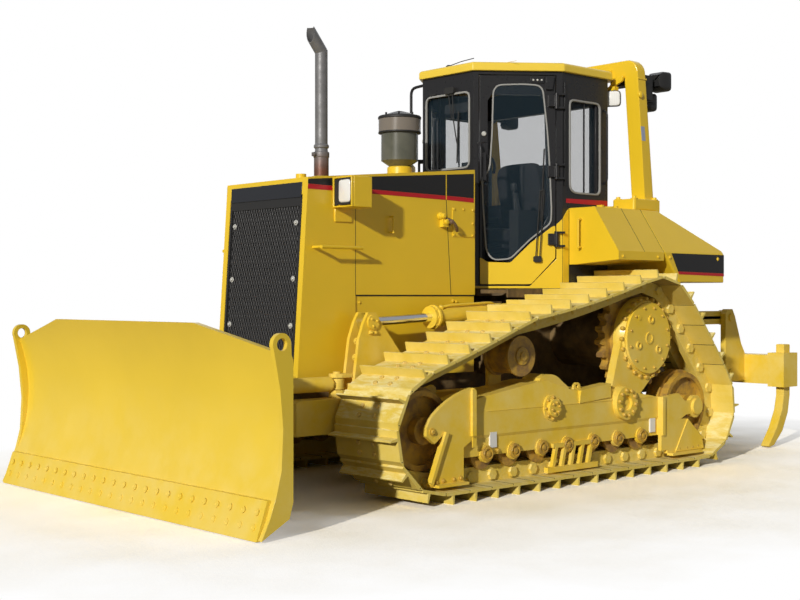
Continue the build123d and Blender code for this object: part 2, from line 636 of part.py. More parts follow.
def make_radiator_guard():
    back = HOOD_FRONT_X
    outline = [
        (back, GUARD_FOOT_Z),
        (back, HOOD_TOP_FRONT_Z + (GUARD_TOP_X - back) * 0.095),
        (GUARD_TOP_X, HOOD_TOP_FRONT_Z),
        (GUARD_FOOT_X, GUARD_FOOT_Z),
    ]
    guard = prism("xz", outline, -HOOD_HALF, HOOD_HALF) + disc("z", (1400, 0), 34, 1960, 2032)
    top = HOOD_TOP_FRONT_Z - 105
    inner = [
        (back + 90, GUARD_FOOT_Z + 60),
        (back + 90, top),
        (GUARD_TOP_X + 60, top),
        (GUARD_FOOT_X + 60, GUARD_FOOT_Z + 60),
    ]
    guard = guard - prism("xz", inner, -HOOD_HALF + 46, HOOD_HALF - 46)
    return fuse([guard] + both(bow([(1330, 1537), (1640, 1537)], HOOD_HALF, 92, 11)))


def make_grille():
    slope = (GUARD_FOOT_X - GUARD_TOP_X) / (HOOD_TOP_FRONT_Z - GUARD_FOOT_Z)
    z0, z1 = GUARD_FOOT_Z + 60, HOOD_TOP_FRONT_Z - 105
    half = HOOD_HALF - 46

    def face(z, back):
        return GUARD_TOP_X + slope * (HOOD_TOP_FRONT_Z - z) - back

    outline = [(face(z0, 10), z0), (face(z1, 10), z1), (face(z1, 30), z1), (face(z0, 30), z0)]
    panel = prism("xz", outline, -half, half)
    columns, rows = 12, 16
    wide, high = 2 * half / columns, (z1 - z0) / rows
    holes = []
    for column in range(columns):
        for row in range(rows):
            y = -half + (column + 0.5) * wide
            z = z0 + (row + 0.5) * high
            holes.append(box(1500, 1900, y - wide / 2 + 11, y + wide / 2 - 11, z - high / 2 + 11,
                             z + high / 2 - 11))
    return panel - Compound(children=holes)


def make_stack():
    """Pipe with a wider foot and a mouth that bends forward and is cut upright."""
    top = STACK_TOP_Z
    bend = top - 150
    foot = turned("z", (STACK_X, 0), [(STACK_FOOT_RADIUS, ENGINE_TOP_Z), (STACK_FOOT_RADIUS, 2165),
                                      (STACK_RADIUS, 2200)])
    bore = STACK_RADIUS - 4
    mouth = (STACK_X + 130, 0, top + 10)
    pipe = foot + disc("z", (STACK_X, 0), STACK_RADIUS, 2190, bend + 12) + rod((STACK_X, 0, bend), mouth,
                                                                               STACK_RADIUS)
    pipe = pipe - disc("z", (STACK_X, 0), bore, 2300, bend + 8) - rod((STACK_X, 0, bend - 2),
                                                                      (*mouth[:2], top + 12), bore)
    return pipe & box(STACK_X - 60, STACK_X + 92, -60, 60, 0, top)


def make_precleaner():
    neck, body, lid, top = PRECLEANER_NECK, PRECLEANER_RADIUS - 18, PRECLEANER_RADIUS, 2512
    return turned("z", (PRECLEANER_X, 0), [(neck, ENGINE_TOP_Z), (neck, 2138), (body, 2178),
                                           (body, top - 141),
                                           (lid, top - 139), (lid, top - 40), (lid - 12, top - 26),
                                           (70, top)])


# ---- cab ------------------------------------------------------------------
def cab_plan(grow=0.0):
    """Plan of the cab, moved outward by grow."""
    run, rise = CAB_FRONT_X - CAB_CORNER_X, CAB_HALF - CAB_FRONT_HALF
    lean = math.atan2(rise, run)
    front = CAB_FRONT_HALF + grow * math.tan((math.pi / 2 - lean) / 2)
    corner = CAB_CORNER_X + grow * math.tan(lean / 2)
    left = [
        (CAB_FRONT_X + grow, front),
        (corner, CAB_HALF + grow),
        (CAB_REAR_X - grow, CAB_HALF + grow),
    ]
    return left + [(x, -y) for x, y in reversed(left)]


def door_frame():
    """Start point, direction along and outward normal of the left door's wall."""
    start = Vector(CAB_FRONT_X, CAB_FRONT_HALF, 0)
    along = (Vector(CAB_CORNER_X, CAB_HALF, 0) - start)
    width = along.length
    along = along.normalized()
    outward = Vector(-along.Y, along.X, 0)
    if outward.Y < 0:
        outward = outward * -1
    return start, along, outward, width


def door_slab(outline, inner, outer):
    """Prism across the left door's wall; outline is (along, z)."""
    start, along, outward, _ = door_frame()
    points = [start + along * u + outward * inner + Vector(0, 0, z) for u, z in outline]
    return extrude(Face(Wire.make_polygon(points, close=True)), amount=outer - inner, dir=outward)


def door_width():
    return door_frame()[3]


def door_window():
    w = door_width()
    return [
        (60, 1480), (60, 1840), (100, 1930), (100, 2620), (130, 2665), (w - 150, 2665),
        (w - 125, 2620), (w - 105, 1800), (w - 290, 1478), (w - 325, 1445), (95, 1445),
    ]


SIDE_WINDOW = [(CAB_CORNER_X - 75, 2010), (CAB_CORNER_X - 75, 2640), (CAB_REAR_X + 90, 2640),
               (CAB_REAR_X + 90, 1975),
               (CAB_CORNER_X - 120, 1975)]
FRONT_WINDOW = [(-CAB_FRONT_HALF + 40, 2150), (-CAB_FRONT_HALF + 40, 2690), (CAB_FRONT_HALF - 40, 2690),
                (CAB_FRONT_HALF - 40, 2150)]
REAR_WINDOW = [(-520, 1960), (-520, 2640), (520, 2640), (520, 1960)]


def make_cab_shell():
    shell = prism("xy", cab_plan(), CAB_FLOOR_Z, CAB_TOP_Z)
    shell = shell - prism("xy", cab_plan(-CAB_WALL), CAB_FLOOR_Z + 40, CAB_TOP_Z + 1)
    cut = door_slab(door_outline(DOOR_GAP), -CAB_WALL - 30, 30)
    shell = shell - cut - mirrored(cut)
    shell = shell - prism("xz", SIDE_WINDOW, -CAB_HALF - 10, CAB_HALF + 10)
    shell = shell - prism("yz", FRONT_WINDOW, CAB_FRONT_X - CAB_WALL - 10, CAB_FRONT_X + 10)
    shell = shell - prism("yz", REAR_WINDOW, CAB_REAR_X - 10, CAB_REAR_X + CAB_WALL + 10)
    # hinge brackets above and below each door knuckle, and the pin through them
    hinges = []
    for z in HINGE_ZS:
        for side in (-1, 1):
            low = z + side * (HINGE_KNUCKLE + 1)
            hinges.append(hinge_disc(HINGE_KNUCKLE_RADIUS, low, low + side * 14))
            hinges.append(hinge_leaf(0, 60, low, low + side * 14))
        hinges.append(hinge_disc(HINGE_PIN_RADIUS, z - HINGE_KNUCKLE - 10, z + HINGE_KNUCKLE + 10))
    return fuse([shell] + both(hinges))


def make_cab_glass():
    inset = CAB_WALL / 2
    side = prism("xz", SIDE_WINDOW, CAB_HALF - inset - GLASS / 2, CAB_HALF - inset + GLASS / 2)
    front = prism("yz", FRONT_WINDOW, CAB_FRONT_X - inset - GLASS / 2, CAB_FRONT_X - inset + GLASS / 2)
    rear = prism("yz", REAR_WINDOW, CAB_REAR_X + inset - GLASS / 2, CAB_REAR_X + inset + GLASS / 2)
    return both([side]) + [front, rear]


def make_cab_roof():
    roof = prism("xy", cab_plan(ROOF_OVERHANG), CAB_TOP_Z, CAB_TOP_Z + ROOF_THICKNESS)
    return chamfer(roof.faces().sort_by(Axis.Z)[-1].edges(), 14)


def door_outline(grow=0.0):
    """Outline of the door in its wall, moved outward by grow."""
    w = door_width()
    front, rear = DOOR_POST - grow, w - DOOR_HINGE_POST + grow
    bottom, top = DOOR_BOTTOM_Z - grow, DOOR_TOP_Z + grow
    slant = DOOR_SLANT_TOP_Z - grow * 0.4
    return [(front, bottom), (front, top), (rear, top), (rear, slant),
            (rear - DOOR_SLANT_RUN - grow * 0.4, bottom)]


def hinge_point(z, shift=0.0):
    start, along, outward, w = door_frame()
    point = start + along * (w - DOOR_HINGE_POST + DOOR_GAP / 2 + shift) + outward * HINGE_OUT
    return (point.X, point.Y, z)


def hinge_disc(radius, low, high):
    low, high = min(low, high), max(low, high)
    return rod(hinge_point(low), hinge_point(high), radius)


def hinge_leaf(begin, end, low, high):
    """Flat strap beside the hinge line, from the cab's face out to the pin."""
    low, high = min(low, high), max(low, high)
    middle = door_width() - DOOR_HINGE_POST + DOOR_GAP / 2
    outline = [(middle + begin, low), (middle + end, low), (middle + end, high), (middle + begin, high)]
    if end < begin:
        outline.reverse()
    return door_slab(outline, -8, HINGE_OUT + 8)


def make_door():
    door = door_slab(door_outline(), -DOOR_THICKNESS, 0) - door_slab(door_window(), -60, 10)
    for z in HINGE_ZS:
        low, high = z - HINGE_KNUCKLE, z + HINGE_KNUCKLE
        door = door + hinge_disc(HINGE_KNUCKLE_RADIUS, low, high) + hinge_leaf(0, -60, low, high)
        door = door - hinge_disc(HINGE_PIN_RADIUS + RUNNING_GAP, low - 5, high + 5)
    handle = fuse([
        door_slab([(62, 2050), (62, 2250), (84, 2250), (84, 2050)], 30, 46),
        door_slab([(62, 2050), (62, 2080), (84, 2080), (84, 2050)], -5, 46),
        door_slab([(62, 2220), (62, 2250), (84, 2250), (84, 2220)], -5, 46),
    ])
    return door + handle


def make_door_glass():
    return door_slab(door_window(), -24 - GLASS / 2, -24 + GLASS / 2)


def make_seat():
    base = box(-700, -330, -230, 230, CAB_FLOOR_Z + 40, 1600)
    cushion = box(-740, -260, -250, 250, 1600, 1730)
    back = prism("xz", [(-640, 1730), (-740, 2250), (-850, 2250), (-740, 1730)], -240, 240)
    return fuse([base, cushion, back])


def make_controls():
    dash = box(-120, 0, -200, 200, CAB_FLOOR_Z + 40, 2080)
    arm = box(-560, -300, 270, 360, CAB_FLOOR_Z + 40, 1860)
    lever = rod((-340, 315, 1850), (-310, 315, 1980), 22)
    return [dash, arm + lever]


# ---- rear structures ------------------------------------------------------
def rops_slab():
    """Leaning slab that the roll-over frame is cut from."""
    foot_z = FENDER_TOP_Z + 85
    return prism("xz", [(-1285, foot_z), (-1180, foot_z), (ROPS_FRONT_X, ROPS_TOP_Z),
                        (ROPS_REAR_X, ROPS_TOP_Z)], -900, 900)


def make_rops():
    top, foot_z = ROPS_TOP_Z, FENDER_TOP_Z + 85
    fall = (FENDER_TOP_Z - 1575) / (TANK_BREAK_X - TANK_REAR_X)
    foot = prism("xz", [(-1000, FENDER_TOP_Z), (-1000, foot_z), (-1310, foot_z),
                        (-1310, FENDER_TOP_Z - (TANK_BREAK_X + 1310) * fall), (TANK_BREAK_X, FENDER_TOP_Z)],
                 CAB_HALF + 4, 860)
    # arch of two posts and a beam with rounded knees, cut from a leaning slab
    outer, inner, knee = 820, 700, 90
    arc = knee * (1 - math.sqrt(0.5))
    under = top - 128
    arch = [(outer, foot_z), (outer, top - knee), (outer - arc, top - arc, outer - knee, top),
            (knee - outer, top),
            (arc - outer, top - arc, -outer, top - knee), (-outer, foot_z), (-inner, foot_z), (-inner, under),
            (inner, under), (inner, foot_z)]
    arch = plate("yz", arch, -1400, -900) & rops_slab()
    return fuse([arch, foot, mirrored(foot)])


def make_rear_lamps():
    lamps = []
    for y in (250, 560):
        case = box(ROPS_REAR_X - 118, ROPS_REAR_X - 12, y - 70, y + 70, CAB_TOP_Z - 10, CAB_TOP_Z + 110)
        arm = box(ROPS_REAR_X - 20, ROPS_REAR_X + 8, y - 30, y + 30, CAB_TOP_Z + 40, CAB_TOP_Z + 80)
        lamps.append(case + arm - rops_slab())
    return both(lamps)


def make_fender():
    outline = [(CAB_HALF + 4, 1462), (CAB_HALF + 4, FENDER_TOP_Z), (FENDER_SHOULDER_Y, FENDER_TOP_Z),
               (FENDER_OUTER_Y, FENDER_EDGE_Z), (FENDER_OUTER_Y, FENDER_EDGE_Z - 60), (CAB_HALF + 60, 1462)]
    fender = prism("yz", outline, TANK_FRONT_X, FENDER_FRONT_X)
    handle = [rod((FENDER_FRONT_X - 2, 770, z), (FENDER_FRONT_X + 40, 770, z), 8) for z in (1580, 1780)]
    return fender + fuse(handle + [rod((FENDER_FRONT_X + 36, 770, 1580), (FENDER_FRONT_X + 36, 770, 1780),
                                       8)])


def make_tank():
    section = [(FENDER_SHOULDER_Y, FENDER_TOP_Z), (FENDER_OUTER_Y, FENDER_EDGE_Z),
               (FENDER_OUTER_Y, TANK_BOTTOM_Z)]
    section = section + [(-y, z) for y, z in reversed(section)]
    tank = prism("yz", section, TANK_REAR_X, TANK_FRONT_X)
    side = [(TANK_FRONT_X, FENDER_EDGE_Z), (TANK_FRONT_X, FENDER_TOP_Z), (TANK_BREAK_X, FENDER_TOP_Z),
            (TANK_REAR_X, 1575), (TANK_REAR_X, TANK_BOTTOM_Z), (-1220, TANK_BOTTOM_Z)]
    return tank & prism("xz", side, -1200, 1200)


def make_platform():
    """Plinth under the cab, with the step tray below each door."""
    cab_base = prism("xy", cab_plan(-60), CASE_TOP_Z, CAB_FLOOR_Z)
    inner, front = STEP_OUTER_Y - 260, 120
    tray = box(-300, front, inner, STEP_OUTER_Y, CAB_FLOOR_Z - 34, CAB_FLOOR_Z - 8)
    lip = box(-300, front, STEP_OUTER_Y - 14, STEP_OUTER_Y, CAB_FLOOR_Z - 62, CAB_FLOOR_Z - 2)
    return fuse([cab_base] + both([tray + lip]))


# ---- C-frame --------------------------------------------------------------
def make_c_frame():
    x, z = LIFT_PIVOT
    plan_outer = [(x, ARM_Y + ARM_HALF), (ARM_BEND_X, ARM_Y + ARM_HALF), (2220, 150), (2220, 0),
                  (2090, 0), (1960, 395), (ARM_BEND_X - 20, ARM_Y - ARM_HALF), (x, ARM_Y - ARM_HALF)]
    arm = prism("xy", plan_outer, ARM_BOTTOM_Z, ARM_TOP_Z)
    side = [(-290, 560), (-290, 430), (-200, ARM_BOTTOM_Z), (2300, ARM_BOTTOM_Z), (2300, 545), (2100, 545),
            (1900, ARM_TOP_Z), (-200, ARM_TOP_Z)]
    eye = disc("y", LIFT_PIVOT, 105, ARM_Y - ARM_HALF, ARM_Y + ARM_HALF)
    arm = (arm & prism("xz", side, 0, 700)) + eye
    tower = [(1070, ARM_TOP_Z), (1070, 850), (1268, 1085), (1300, 1135), (1365, 1135), (1400, 1075),
             (1440, 970),
             (1490, 630), (1490, ARM_TOP_Z)]
    plates = [prism("xz", tower, ARM_Y - 58, ARM_Y - 34), prism("xz", tower, ARM_Y + 34, ARM_Y + 58)]
    web = prism("xz", [(1070, ARM_TOP_Z - 5), (1070, 850), (1120, 850), (1180, 700), (1490, 700),
                       (1490, ARM_TOP_Z - 5)],
                ARM_Y - 40, ARM_Y + 40)
    caps = [disc("y", TOWER_PIN, 46, ARM_Y - 72, ARM_Y - 50),
            disc("y", TOWER_PIN, 46, ARM_Y + 50, ARM_Y + 72)]
    ax, ay = ANGLE_BASE
    lug_plan = [(1480, ay - 50), (ax, ay - 50), (ax + 36, ay - 36), (ax + 50, ay), (ax + 36, ay + 36),
                (ax, ay + 50),
                (1480, ay + 50)]
    lugs = [prism("xy", lug_plan, ANGLE_Z + 38, ANGLE_Z + 62),
            prism("xy", lug_plan, ARM_TOP_Z - 2, ANGLE_Z - 38)]
    lugs.append(disc("z", ANGLE_BASE, 24, ANGLE_Z - 50, ANGLE_Z + 74))
    left = fuse([arm, web] + plates + caps + lugs)
    frame = left + mirrored(left)
    nose = disc("z", (ANGLE_PIVOT_X, 0), 105, ARM_BOTTOM_Z, 545)
    neck = box(2120, ANGLE_PIVOT_X, -100, 100, ARM_BOTTOM_Z, 545)
    frame = fuse([frame, neck, nose])
    frame = frame - disc("z", (ANGLE_PIVOT_X, 0), 55, ARM_BOTTOM_Z - 5, 560)
    return frame - rod((x, -700, z), (x, 700, z), 55.2)


def make_cylinder(base, direction, length, reach, closing, radius, rod_radius, across, eye, pin_hole):
    """Barrel and rod of a hydraulic cylinder between its two pins.

    base is the base pin's middle, direction points to the rod's pin and length
    is the distance between them. reach is where the barrel ends, closing how
    far the rod can slide in, across the direction of the pins and eye is
    (radius, half width) of both eyes.
    """
    base, direction, across = Vector(*base), Vector(*direction).normalized(), Vector(*across).normalized()
    eye_radius, eye_half = eye

    def eye_at(center):
        start = center - across * eye_half
        return rod((start.X, start.Y, start.Z), tuple(center + across * eye_half), eye_radius)

    def bar(from_, to, r):
        return rod(tuple(base + direction * from_), tuple(base + direction * to), r)

    bore = radius - BARREL_WALL
    bottom = eye_radius + 34
    barrel = fuse([eye_at(base), bar(eye_radius * 0.6, eye_radius + 20, eye_half - 3),
                   bar(eye_radius + 14, reach, radius), bar(reach - GLAND - 12, reach, radius + 10)])
    hole = rod(tuple(base - across * (eye_half + 5)), tuple(base + across * (eye_half + 5)), pin_hole)
    barrel = barrel - hole - bar(bottom, reach - GLAND, bore)
    barrel = barrel - bar(reach - GLAND - 1, reach + 1, rod_radius + RUNNING_GAP)
    tip = base + direction * length
    head = bottom + closing + 5
    piston = fuse([eye_at(tip), bar(head, length - eye_radius * 0.6, rod_radius),
                   bar(head, head + PISTON, bore - RUNNING_GAP)])
    return barrel, piston


def make_lift_cylinder():
    base = (LIFT_BASE[0], ARM_Y, LIFT_BASE[1])
    tip = (TOWER_PIN[0], ARM_Y, TOWER_PIN[1])
    length = math.dist(base, tip)
    direction = [t - b for b, t in zip(base, tip)]
    return make_cylinder(base, direction, length, 740, LIFT_CLOSING, 62, 29, (0, 1, 0), (58, 29),
                         34 + RUNNING_GAP)


def make_angle_cylinder():
    base = (*ANGLE_BASE, ANGLE_Z)
    tip = (*ANGLE_PIN, ANGLE_Z)
    length = math.dist(base, tip)
    direction = [t - b for b, t in zip(base, tip)]
    return make_cylinder(base, direction, length, 583, ANGLE_CLOSING, 46, 24, (0, 0, 1), (44, 33),
                         24 + RUNNING_GAP)


def make_tilt_cylinder():
    base = (TILT_X, *TILT_BASE)
    tip = (TILT_X, *TILT_PIN)
    length = math.dist(base, tip)
    direction = [t - b for b, t in zip(base, tip)]
    return make_cylinder(base, direction, length, 500, TILT_CLOSING, 44, 24, (1, 0, 0), (42, 27),
                         24 + RUNNING_GAP)


# ---- blade ----------------------------------------------------------------
def make_yoke():
    bar = box(2365, 2455, -500, 500, 370, 590)
    lug = [(2365, -130), (2365, 130), (ANGLE_PIVOT_X, 100), (2190, 60), (2190, -60), (ANGLE_PIVOT_X, -100)]
    upper = prism("xy", lug, 551, 590)
    lower = prism("xy", lug, 365, 399)
    pin = disc("z", (ANGLE_PIVOT_X, 0), 54.8, 365, 610)
    ax, ay = ANGLE_PIN
    ear = [(2365, ay - 170), (2455, ay - 170), (2470, ay), (2445, ay + 45), (2395, ay + 45), (2370, ay)]
    ears = [prism("xz", [(2365, 580), (2365, ANGLE_Z + 60), (2455, ANGLE_Z + 60), (2455, 580)], ay - 170,
                  ay - 110)]
    for z in (ANGLE_Z + 38, ANGLE_Z - 60):
        ears.append(prism("xy", ear, z, z + 22))
        ears.append(disc("z", ANGLE_PIN, 34, z - (10 if z < ANGLE_Z else 0),
                         z + 22 + (10 if z > ANGLE_Z else 0)))
    ears = both(ears)
    mast = prism("xz", [(2365, 585), (2365, 700), (2380, 950), (2418, 950), (2418, 585)], -215, -25)
    tilt_pin = rod((2410, *TILT_BASE), (TILT_X + 32, *TILT_BASE), 24)
    trunnion = rod((2450, 0, TILT_Z), (2526, 0, TILT_Z), 62)
    return fuse([bar, upper, lower, pin, mast, tilt_pin, trunnion] + ears)


def edge_seat(z):
    """x of the sloping face that the cutting edge is bolted to."""
    return BLADE_EDGE_X - 96 + (205 - z) * 0.348


def blade_arc(depth):
    """Curve of the moldboard in side view, depth behind its face."""
    x = BLADE_EDGE_X - depth
    return ThreePointArc((x - 96, 0, 205), (x - 184, 0, BLADE_BELLY_Z), (x - 49, 0, BLADE_TOP_Z))


def blade_section():
    """Curved moldboard plate with the sloping seat of its cutting edge."""
    x, z = BLADE_EDGE_X, BLADE_CLEAR_Z + 66
    lines = [
        blade_arc(0),
        Line((x - 49, 0, BLADE_TOP_Z), (x - 49 - BLADE_PLATE, 0, BLADE_TOP_Z)),
        blade_arc(BLADE_PLATE),
        Polyline((x - 96 - BLADE_PLATE, 0, 205), (x - 88, 0, z), (edge_seat(z), 0, z), (x - 96, 0, 205)),
    ]
    return Face(Wire([edge for line in lines for edge in line.edges()]))


def behind_plate():
    """All the room behind the middle of the moldboard's plate, for what is welded to its back."""
    middle = BLADE_PLATE / 2
    x = BLADE_EDGE_X - middle
    lines = [
        blade_arc(middle),
        Polyline((x - 49, 0, BLADE_TOP_Z), (x - 49, 0, BLADE_TOP_Z + 1), (x - 600, 0, BLADE_TOP_Z + 1),
                 (x - 600, 0, 60),
                 (x - 60, 0, 60), (x - 96, 0, 205)),
    ]
    room = Face(Wire([edge for line in lines for edge in line.edges()]))
    return Pos(0, -BLADE_HALF, 0) * extrude(room, amount=2 * BLADE_HALF, dir=(0, 1, 0))


def make_moldboard():
    half = BLADE_HALF - 30
    plate = Pos(0, -half, 0) * extrude(blade_section(), amount=2 * half, dir=(0, 1, 0))
    front_view = [(-half, 60), (-half, BLADE_END_Z), (-BLADE_FLAT_HALF, BLADE_TOP_Z),
                  (BLADE_FLAT_HALF, BLADE_TOP_Z),
                  (half, BLADE_END_Z), (half, 60)]
    x = BLADE_EDGE_X
    plate = plate & prism("yz", front_view, x - 460, x + 140)
    # end plates with the eyes that the blade is lifted by
    rear = x - 211
    end_outline = [(x - 12, 10), (x - 66, 120), (x - 104, 225), (x - 136, 350), (x - 147, BLADE_BELLY_Z),
                   (x - 128, 762),
                   (x - 92, BLADE_END_Z - 8), (x - 82, BLADE_END_Z + 40), (x - 198, BLADE_END_Z + 40),
                   (x - 200, BLADE_END_Z - 15), (rear, BLADE_END_Z - 40), (rear, 190), (x - 188, 105)]
    end = prism("xz", end_outline, half, BLADE_HALF)
    eye_center = (x - 140, BLADE_END_Z + 40)
    end = end + disc("y", eye_center, 58, half, BLADE_HALF) - disc("y", eye_center, 32, half - 5,
                                                                   BLADE_HALF + 5)
    beams = [
        box(rear, x - 100, -half, half, 150, 400),
        box(rear, x - 100, -half + 200, half - 200, BLADE_END_Z - 160, BLADE_END_Z - 70),
    ]
    ribs = [box(rear, x - 100, y - 12, y + 12, 395, BLADE_END_Z - 60) for y in (330, 740, 1140)]
    bracket_rear = TILT_X + 27
    bracket = prism("xz", [(bracket_rear, 840), (x - 230, 780), (x - 100, 780), (x - 60, 990),
                           (bracket_rear, 960)], 540, 660)
    hub = prism("yz", [(-130, 300), (-130, 560), (-70, 620), (70, 620), (130, 560), (130, 300)], HUB_REAR_X,
                x - 120)
    backing = fuse(beams + both(ribs) + [bracket, hub]) & behind_plate()
    blade = fuse([plate, end, mirrored(end), backing])
    return blade - rod((HUB_REAR_X - 80, 0, TILT_Z), (HUB_HOLE_X, 0, TILT_Z), 62.2)


def make_cutting_edge():
    x, z = BLADE_EDGE_X, BLADE_CLEAR_Z
    outline = [(x, z), (edge_seat(z) + 0.3, z), (edge_seat(205) + 0.3, 205), (x - 70, 205)]
    half = BLADE_HALF - 32
    return prism("xz", outline, -half, half)


# ---- ripper ---------------------------------------------------------------
def make_ripper_mount():
    back = CASE_REAR_X
    plate = box(back - 60, back, -600, 600, 500, 1170)
    ear = [(back - 55, 500), (back - 55, 1160), (RIPPER_UPPER[0] - 30, 1130), (RIPPER_UPPER[0] - 60, 1060),
           (RIPPER_LOWER[0] - 60, 600), (RIPPER_LOWER[0] - 30, 540)]
    ears = [prism("xz", ear, 545, 595)]
    pins = [disc("y", RIPPER_LOWER, 34, 470, 610), disc("y", RIPPER_UPPER, 34, 470, 610)]
    x, z = RIPPER_CYL_BASE
    cyl_ear = [(back - 55, z - 120), (back - 55, z + 80), (x, z + 48), (x - 34, z + 34), (x - 48, z),
               (x - 34, z - 34),
               (x, z - 48)]
    for y in (200, 290):
        ears.append(prism("xz", cyl_ear, y - 14, y + 14))
    pins.append(disc("y", RIPPER_CYL_BASE, 26, 190, 300))
    return fuse([plate] + both(ears) + both(pins))


def make_ripper_link(front, tube):
    x, z = front
    end = x - LINK_LENGTH
    arm = fuse([box(end, x, 480, 535, z - 55, z + 55), disc("y", (x, z), 62, 480, 535),
                disc("y", (end, z), 62, 480, 535)])
    arm = arm - disc("y", (x, z), 34 + RUNNING_GAP, 470, 545) - disc("y", (end, z), 34 + RUNNING_GAP, 470,
                                                                     545)
    link = [arm, mirrored(arm)]
    if tube:
        link.append(rod((x - 260, -485, z), (x - 260, 485, z), 50))
    return fuse(link) if tube else link


def make_ripper_beam():
    x = RIPPER_LOWER[0] - LINK_LENGTH
    z = RIPPER_LOWER[1]
    front = x - 200
    beam = box(front - 180, front, -BEAM_HALF, BEAM_HALF, z - 90, z + 150)
    upright = [(x + 80, z - 70), (front - 5, z - 70), (front - 5, z + 160), (x - 150, z + 240),
               (x - 58, z + 470),
               (x - 20, z + 530), (x + 50, z + 530), (x + 80, z + 490)]
    uprights = [prism("xz", upright, 541, 590)]
    pins = [disc("y", (x, z), 34, 470, 600), disc("y", (x, RIPPER_UPPER[1]), 34, 470, 600)]
    lug = [(front - 5, z - 40), (front - 5, z + 140), (x - 130, z + 140), (x - 55, z + 100),
           (x - 55, z + 20), (x - 130, z - 30)]
    lugs = [prism("xz", lug, y - 14, y + 14) for y in (200, 290)]
    caps = [disc("y", RIPPER_CYL_PIN, 34, 176, 190), disc("y", RIPPER_CYL_PIN, 34, 300, 314)]
    pockets = [box(x - 400, x - 190, y - 75, y + 75, z - 110, z + 170) for y in SHANK_YS]
    beam = fuse([beam] + both(uprights) + both(pins) + both(lugs) + both(caps) + pockets)
    for y in SHANK_YS:
        beam = beam - box(x - SHANK_DEPTHS[1], x - SHANK_DEPTHS[0], y - 38, y + 38, z - 200, z + 300)
    return beam


def make_shanks():
    x = RIPPER_LOWER[0] - LINK_LENGTH
    near, far = x - SHANK_DEPTHS[0], x - SHANK_DEPTHS[1]
    outline = [(far, 840), (near, 840), (near, 420), (x - 225, 300), (x - 145, 160), (x - 22, 18),
               (x - 42, 7),
               (x - 110, 20), (x - 238, 130), (x - 315, 270), (far, 420)]
    return [prism("xz", outline, y - 38, y + 38) for y in SHANK_YS]


def make_ripper_cylinders():
    base = (RIPPER_CYL_BASE[0], 245, RIPPER_CYL_BASE[1])
    tip = (RIPPER_CYL_PIN[0], 245, RIPPER_CYL_PIN[1])
    length = math.dist(base, tip)
    direction = [t - b for b, t in zip(base, tip)]
    return make_cylinder(base, direction, length, 800, RIPPER_CLOSING, 52, 27, (0, 1, 0), (46, 28),
                         26 + RUNNING_GAP)


# ---- assembly -------------------------------------------------------------
def build():
    os.makedirs("parts", exist_ok=True)
    pins = chain_pins()
    track = make_track(pins)
    save("track_left", track)
    save("track_right", mirrored(track))
    save("sprockets", both([make_sprocket()]))
    save("idlers", both([make_idler(IDLER_FRONT_X), make_idler(IDLER_REAR_X)]))
    rollers = [make_bottom_roller(x) for x in ROLLER_XS]
    rollers.append(make_roller(CARRIER_X, CARRIER_Z, CARRIER_RADIUS))
    save("rollers", both(rollers))
    save("final_drives", both([make_final_drive()]))
    frame = make_track_frame()
    save("track_frame_left", frame)
    save("track_frame_right", mirrored(frame))

    save("main_frame", make_main_frame())
    save("engine_block", box(380, 1280, -320, 320, GUARD_FOOT_Z, ENGINE_TOP_Z))
    save("hood", make_hood())
    save("side_panels", make_side_panels())
    save("radiator_guard", make_radiator_guard())
    save("grille", make_grille())
    save("headlamp", make_headlamp())
    save("exhaust_stack", make_stack())
    save("precleaner", make_precleaner())

    save("cab_shell", make_cab_shell())
    save("cab_roof", make_cab_roof())
    save("cab_glass", make_cab_glass())
    save("door_left", make_door())
    save("door_right", mirrored(make_door()))
    save("door_glass_left", make_door_glass())
    save("door_glass_right", mirrored(make_door_glass()))
    save("seat", make_seat())
    save("controls", make_controls())
    save("platform", make_platform())
    save("rops", make_rops())
    save("rear_lamps", make_rear_lamps())
    save("fenders", both([make_fender()]))
    save("rear_tank", make_tank())

    save("c_frame", make_c_frame())
    barrel, piston = make_lift_cylinder()
    save("lift_barrels", both([barrel]))
    save("lift_rods", both([piston]))
    save("blade_yoke", make_yoke())
    barrel, piston = make_angle_cylinder()
    save("angle_barrel_left", barrel)
    save("angle_barrel_right", mirrored(barrel))
    save("angle_rod_left", piston)
    save("angle_rod_right", mirrored(piston))
    barrel, piston = make_tilt_cylinder()
    save("tilt_barrel", barrel)
    save("tilt_rod", piston)
    save("moldboard", make_moldboard())
    save("cutting_edge", make_cutting_edge())

    save("ripper_mount", make_ripper_mount())
    save("ripper_lower_link", make_ripper_link(RIPPER_LOWER, True))
    save("ripper_upper_links", make_ripper_link(RIPPER_UPPER, False))
    save("ripper_beam", make_ripper_beam())
    save("ripper_shanks", make_shanks())
    barrel, piston = make_ripper_cylinders()
    save("ripper_barrels", both([barrel]))
    save("ripper_rods", both([piston]))


build()
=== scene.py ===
import math

import bmesh
import bpy
from mathutils import Matrix, Vector


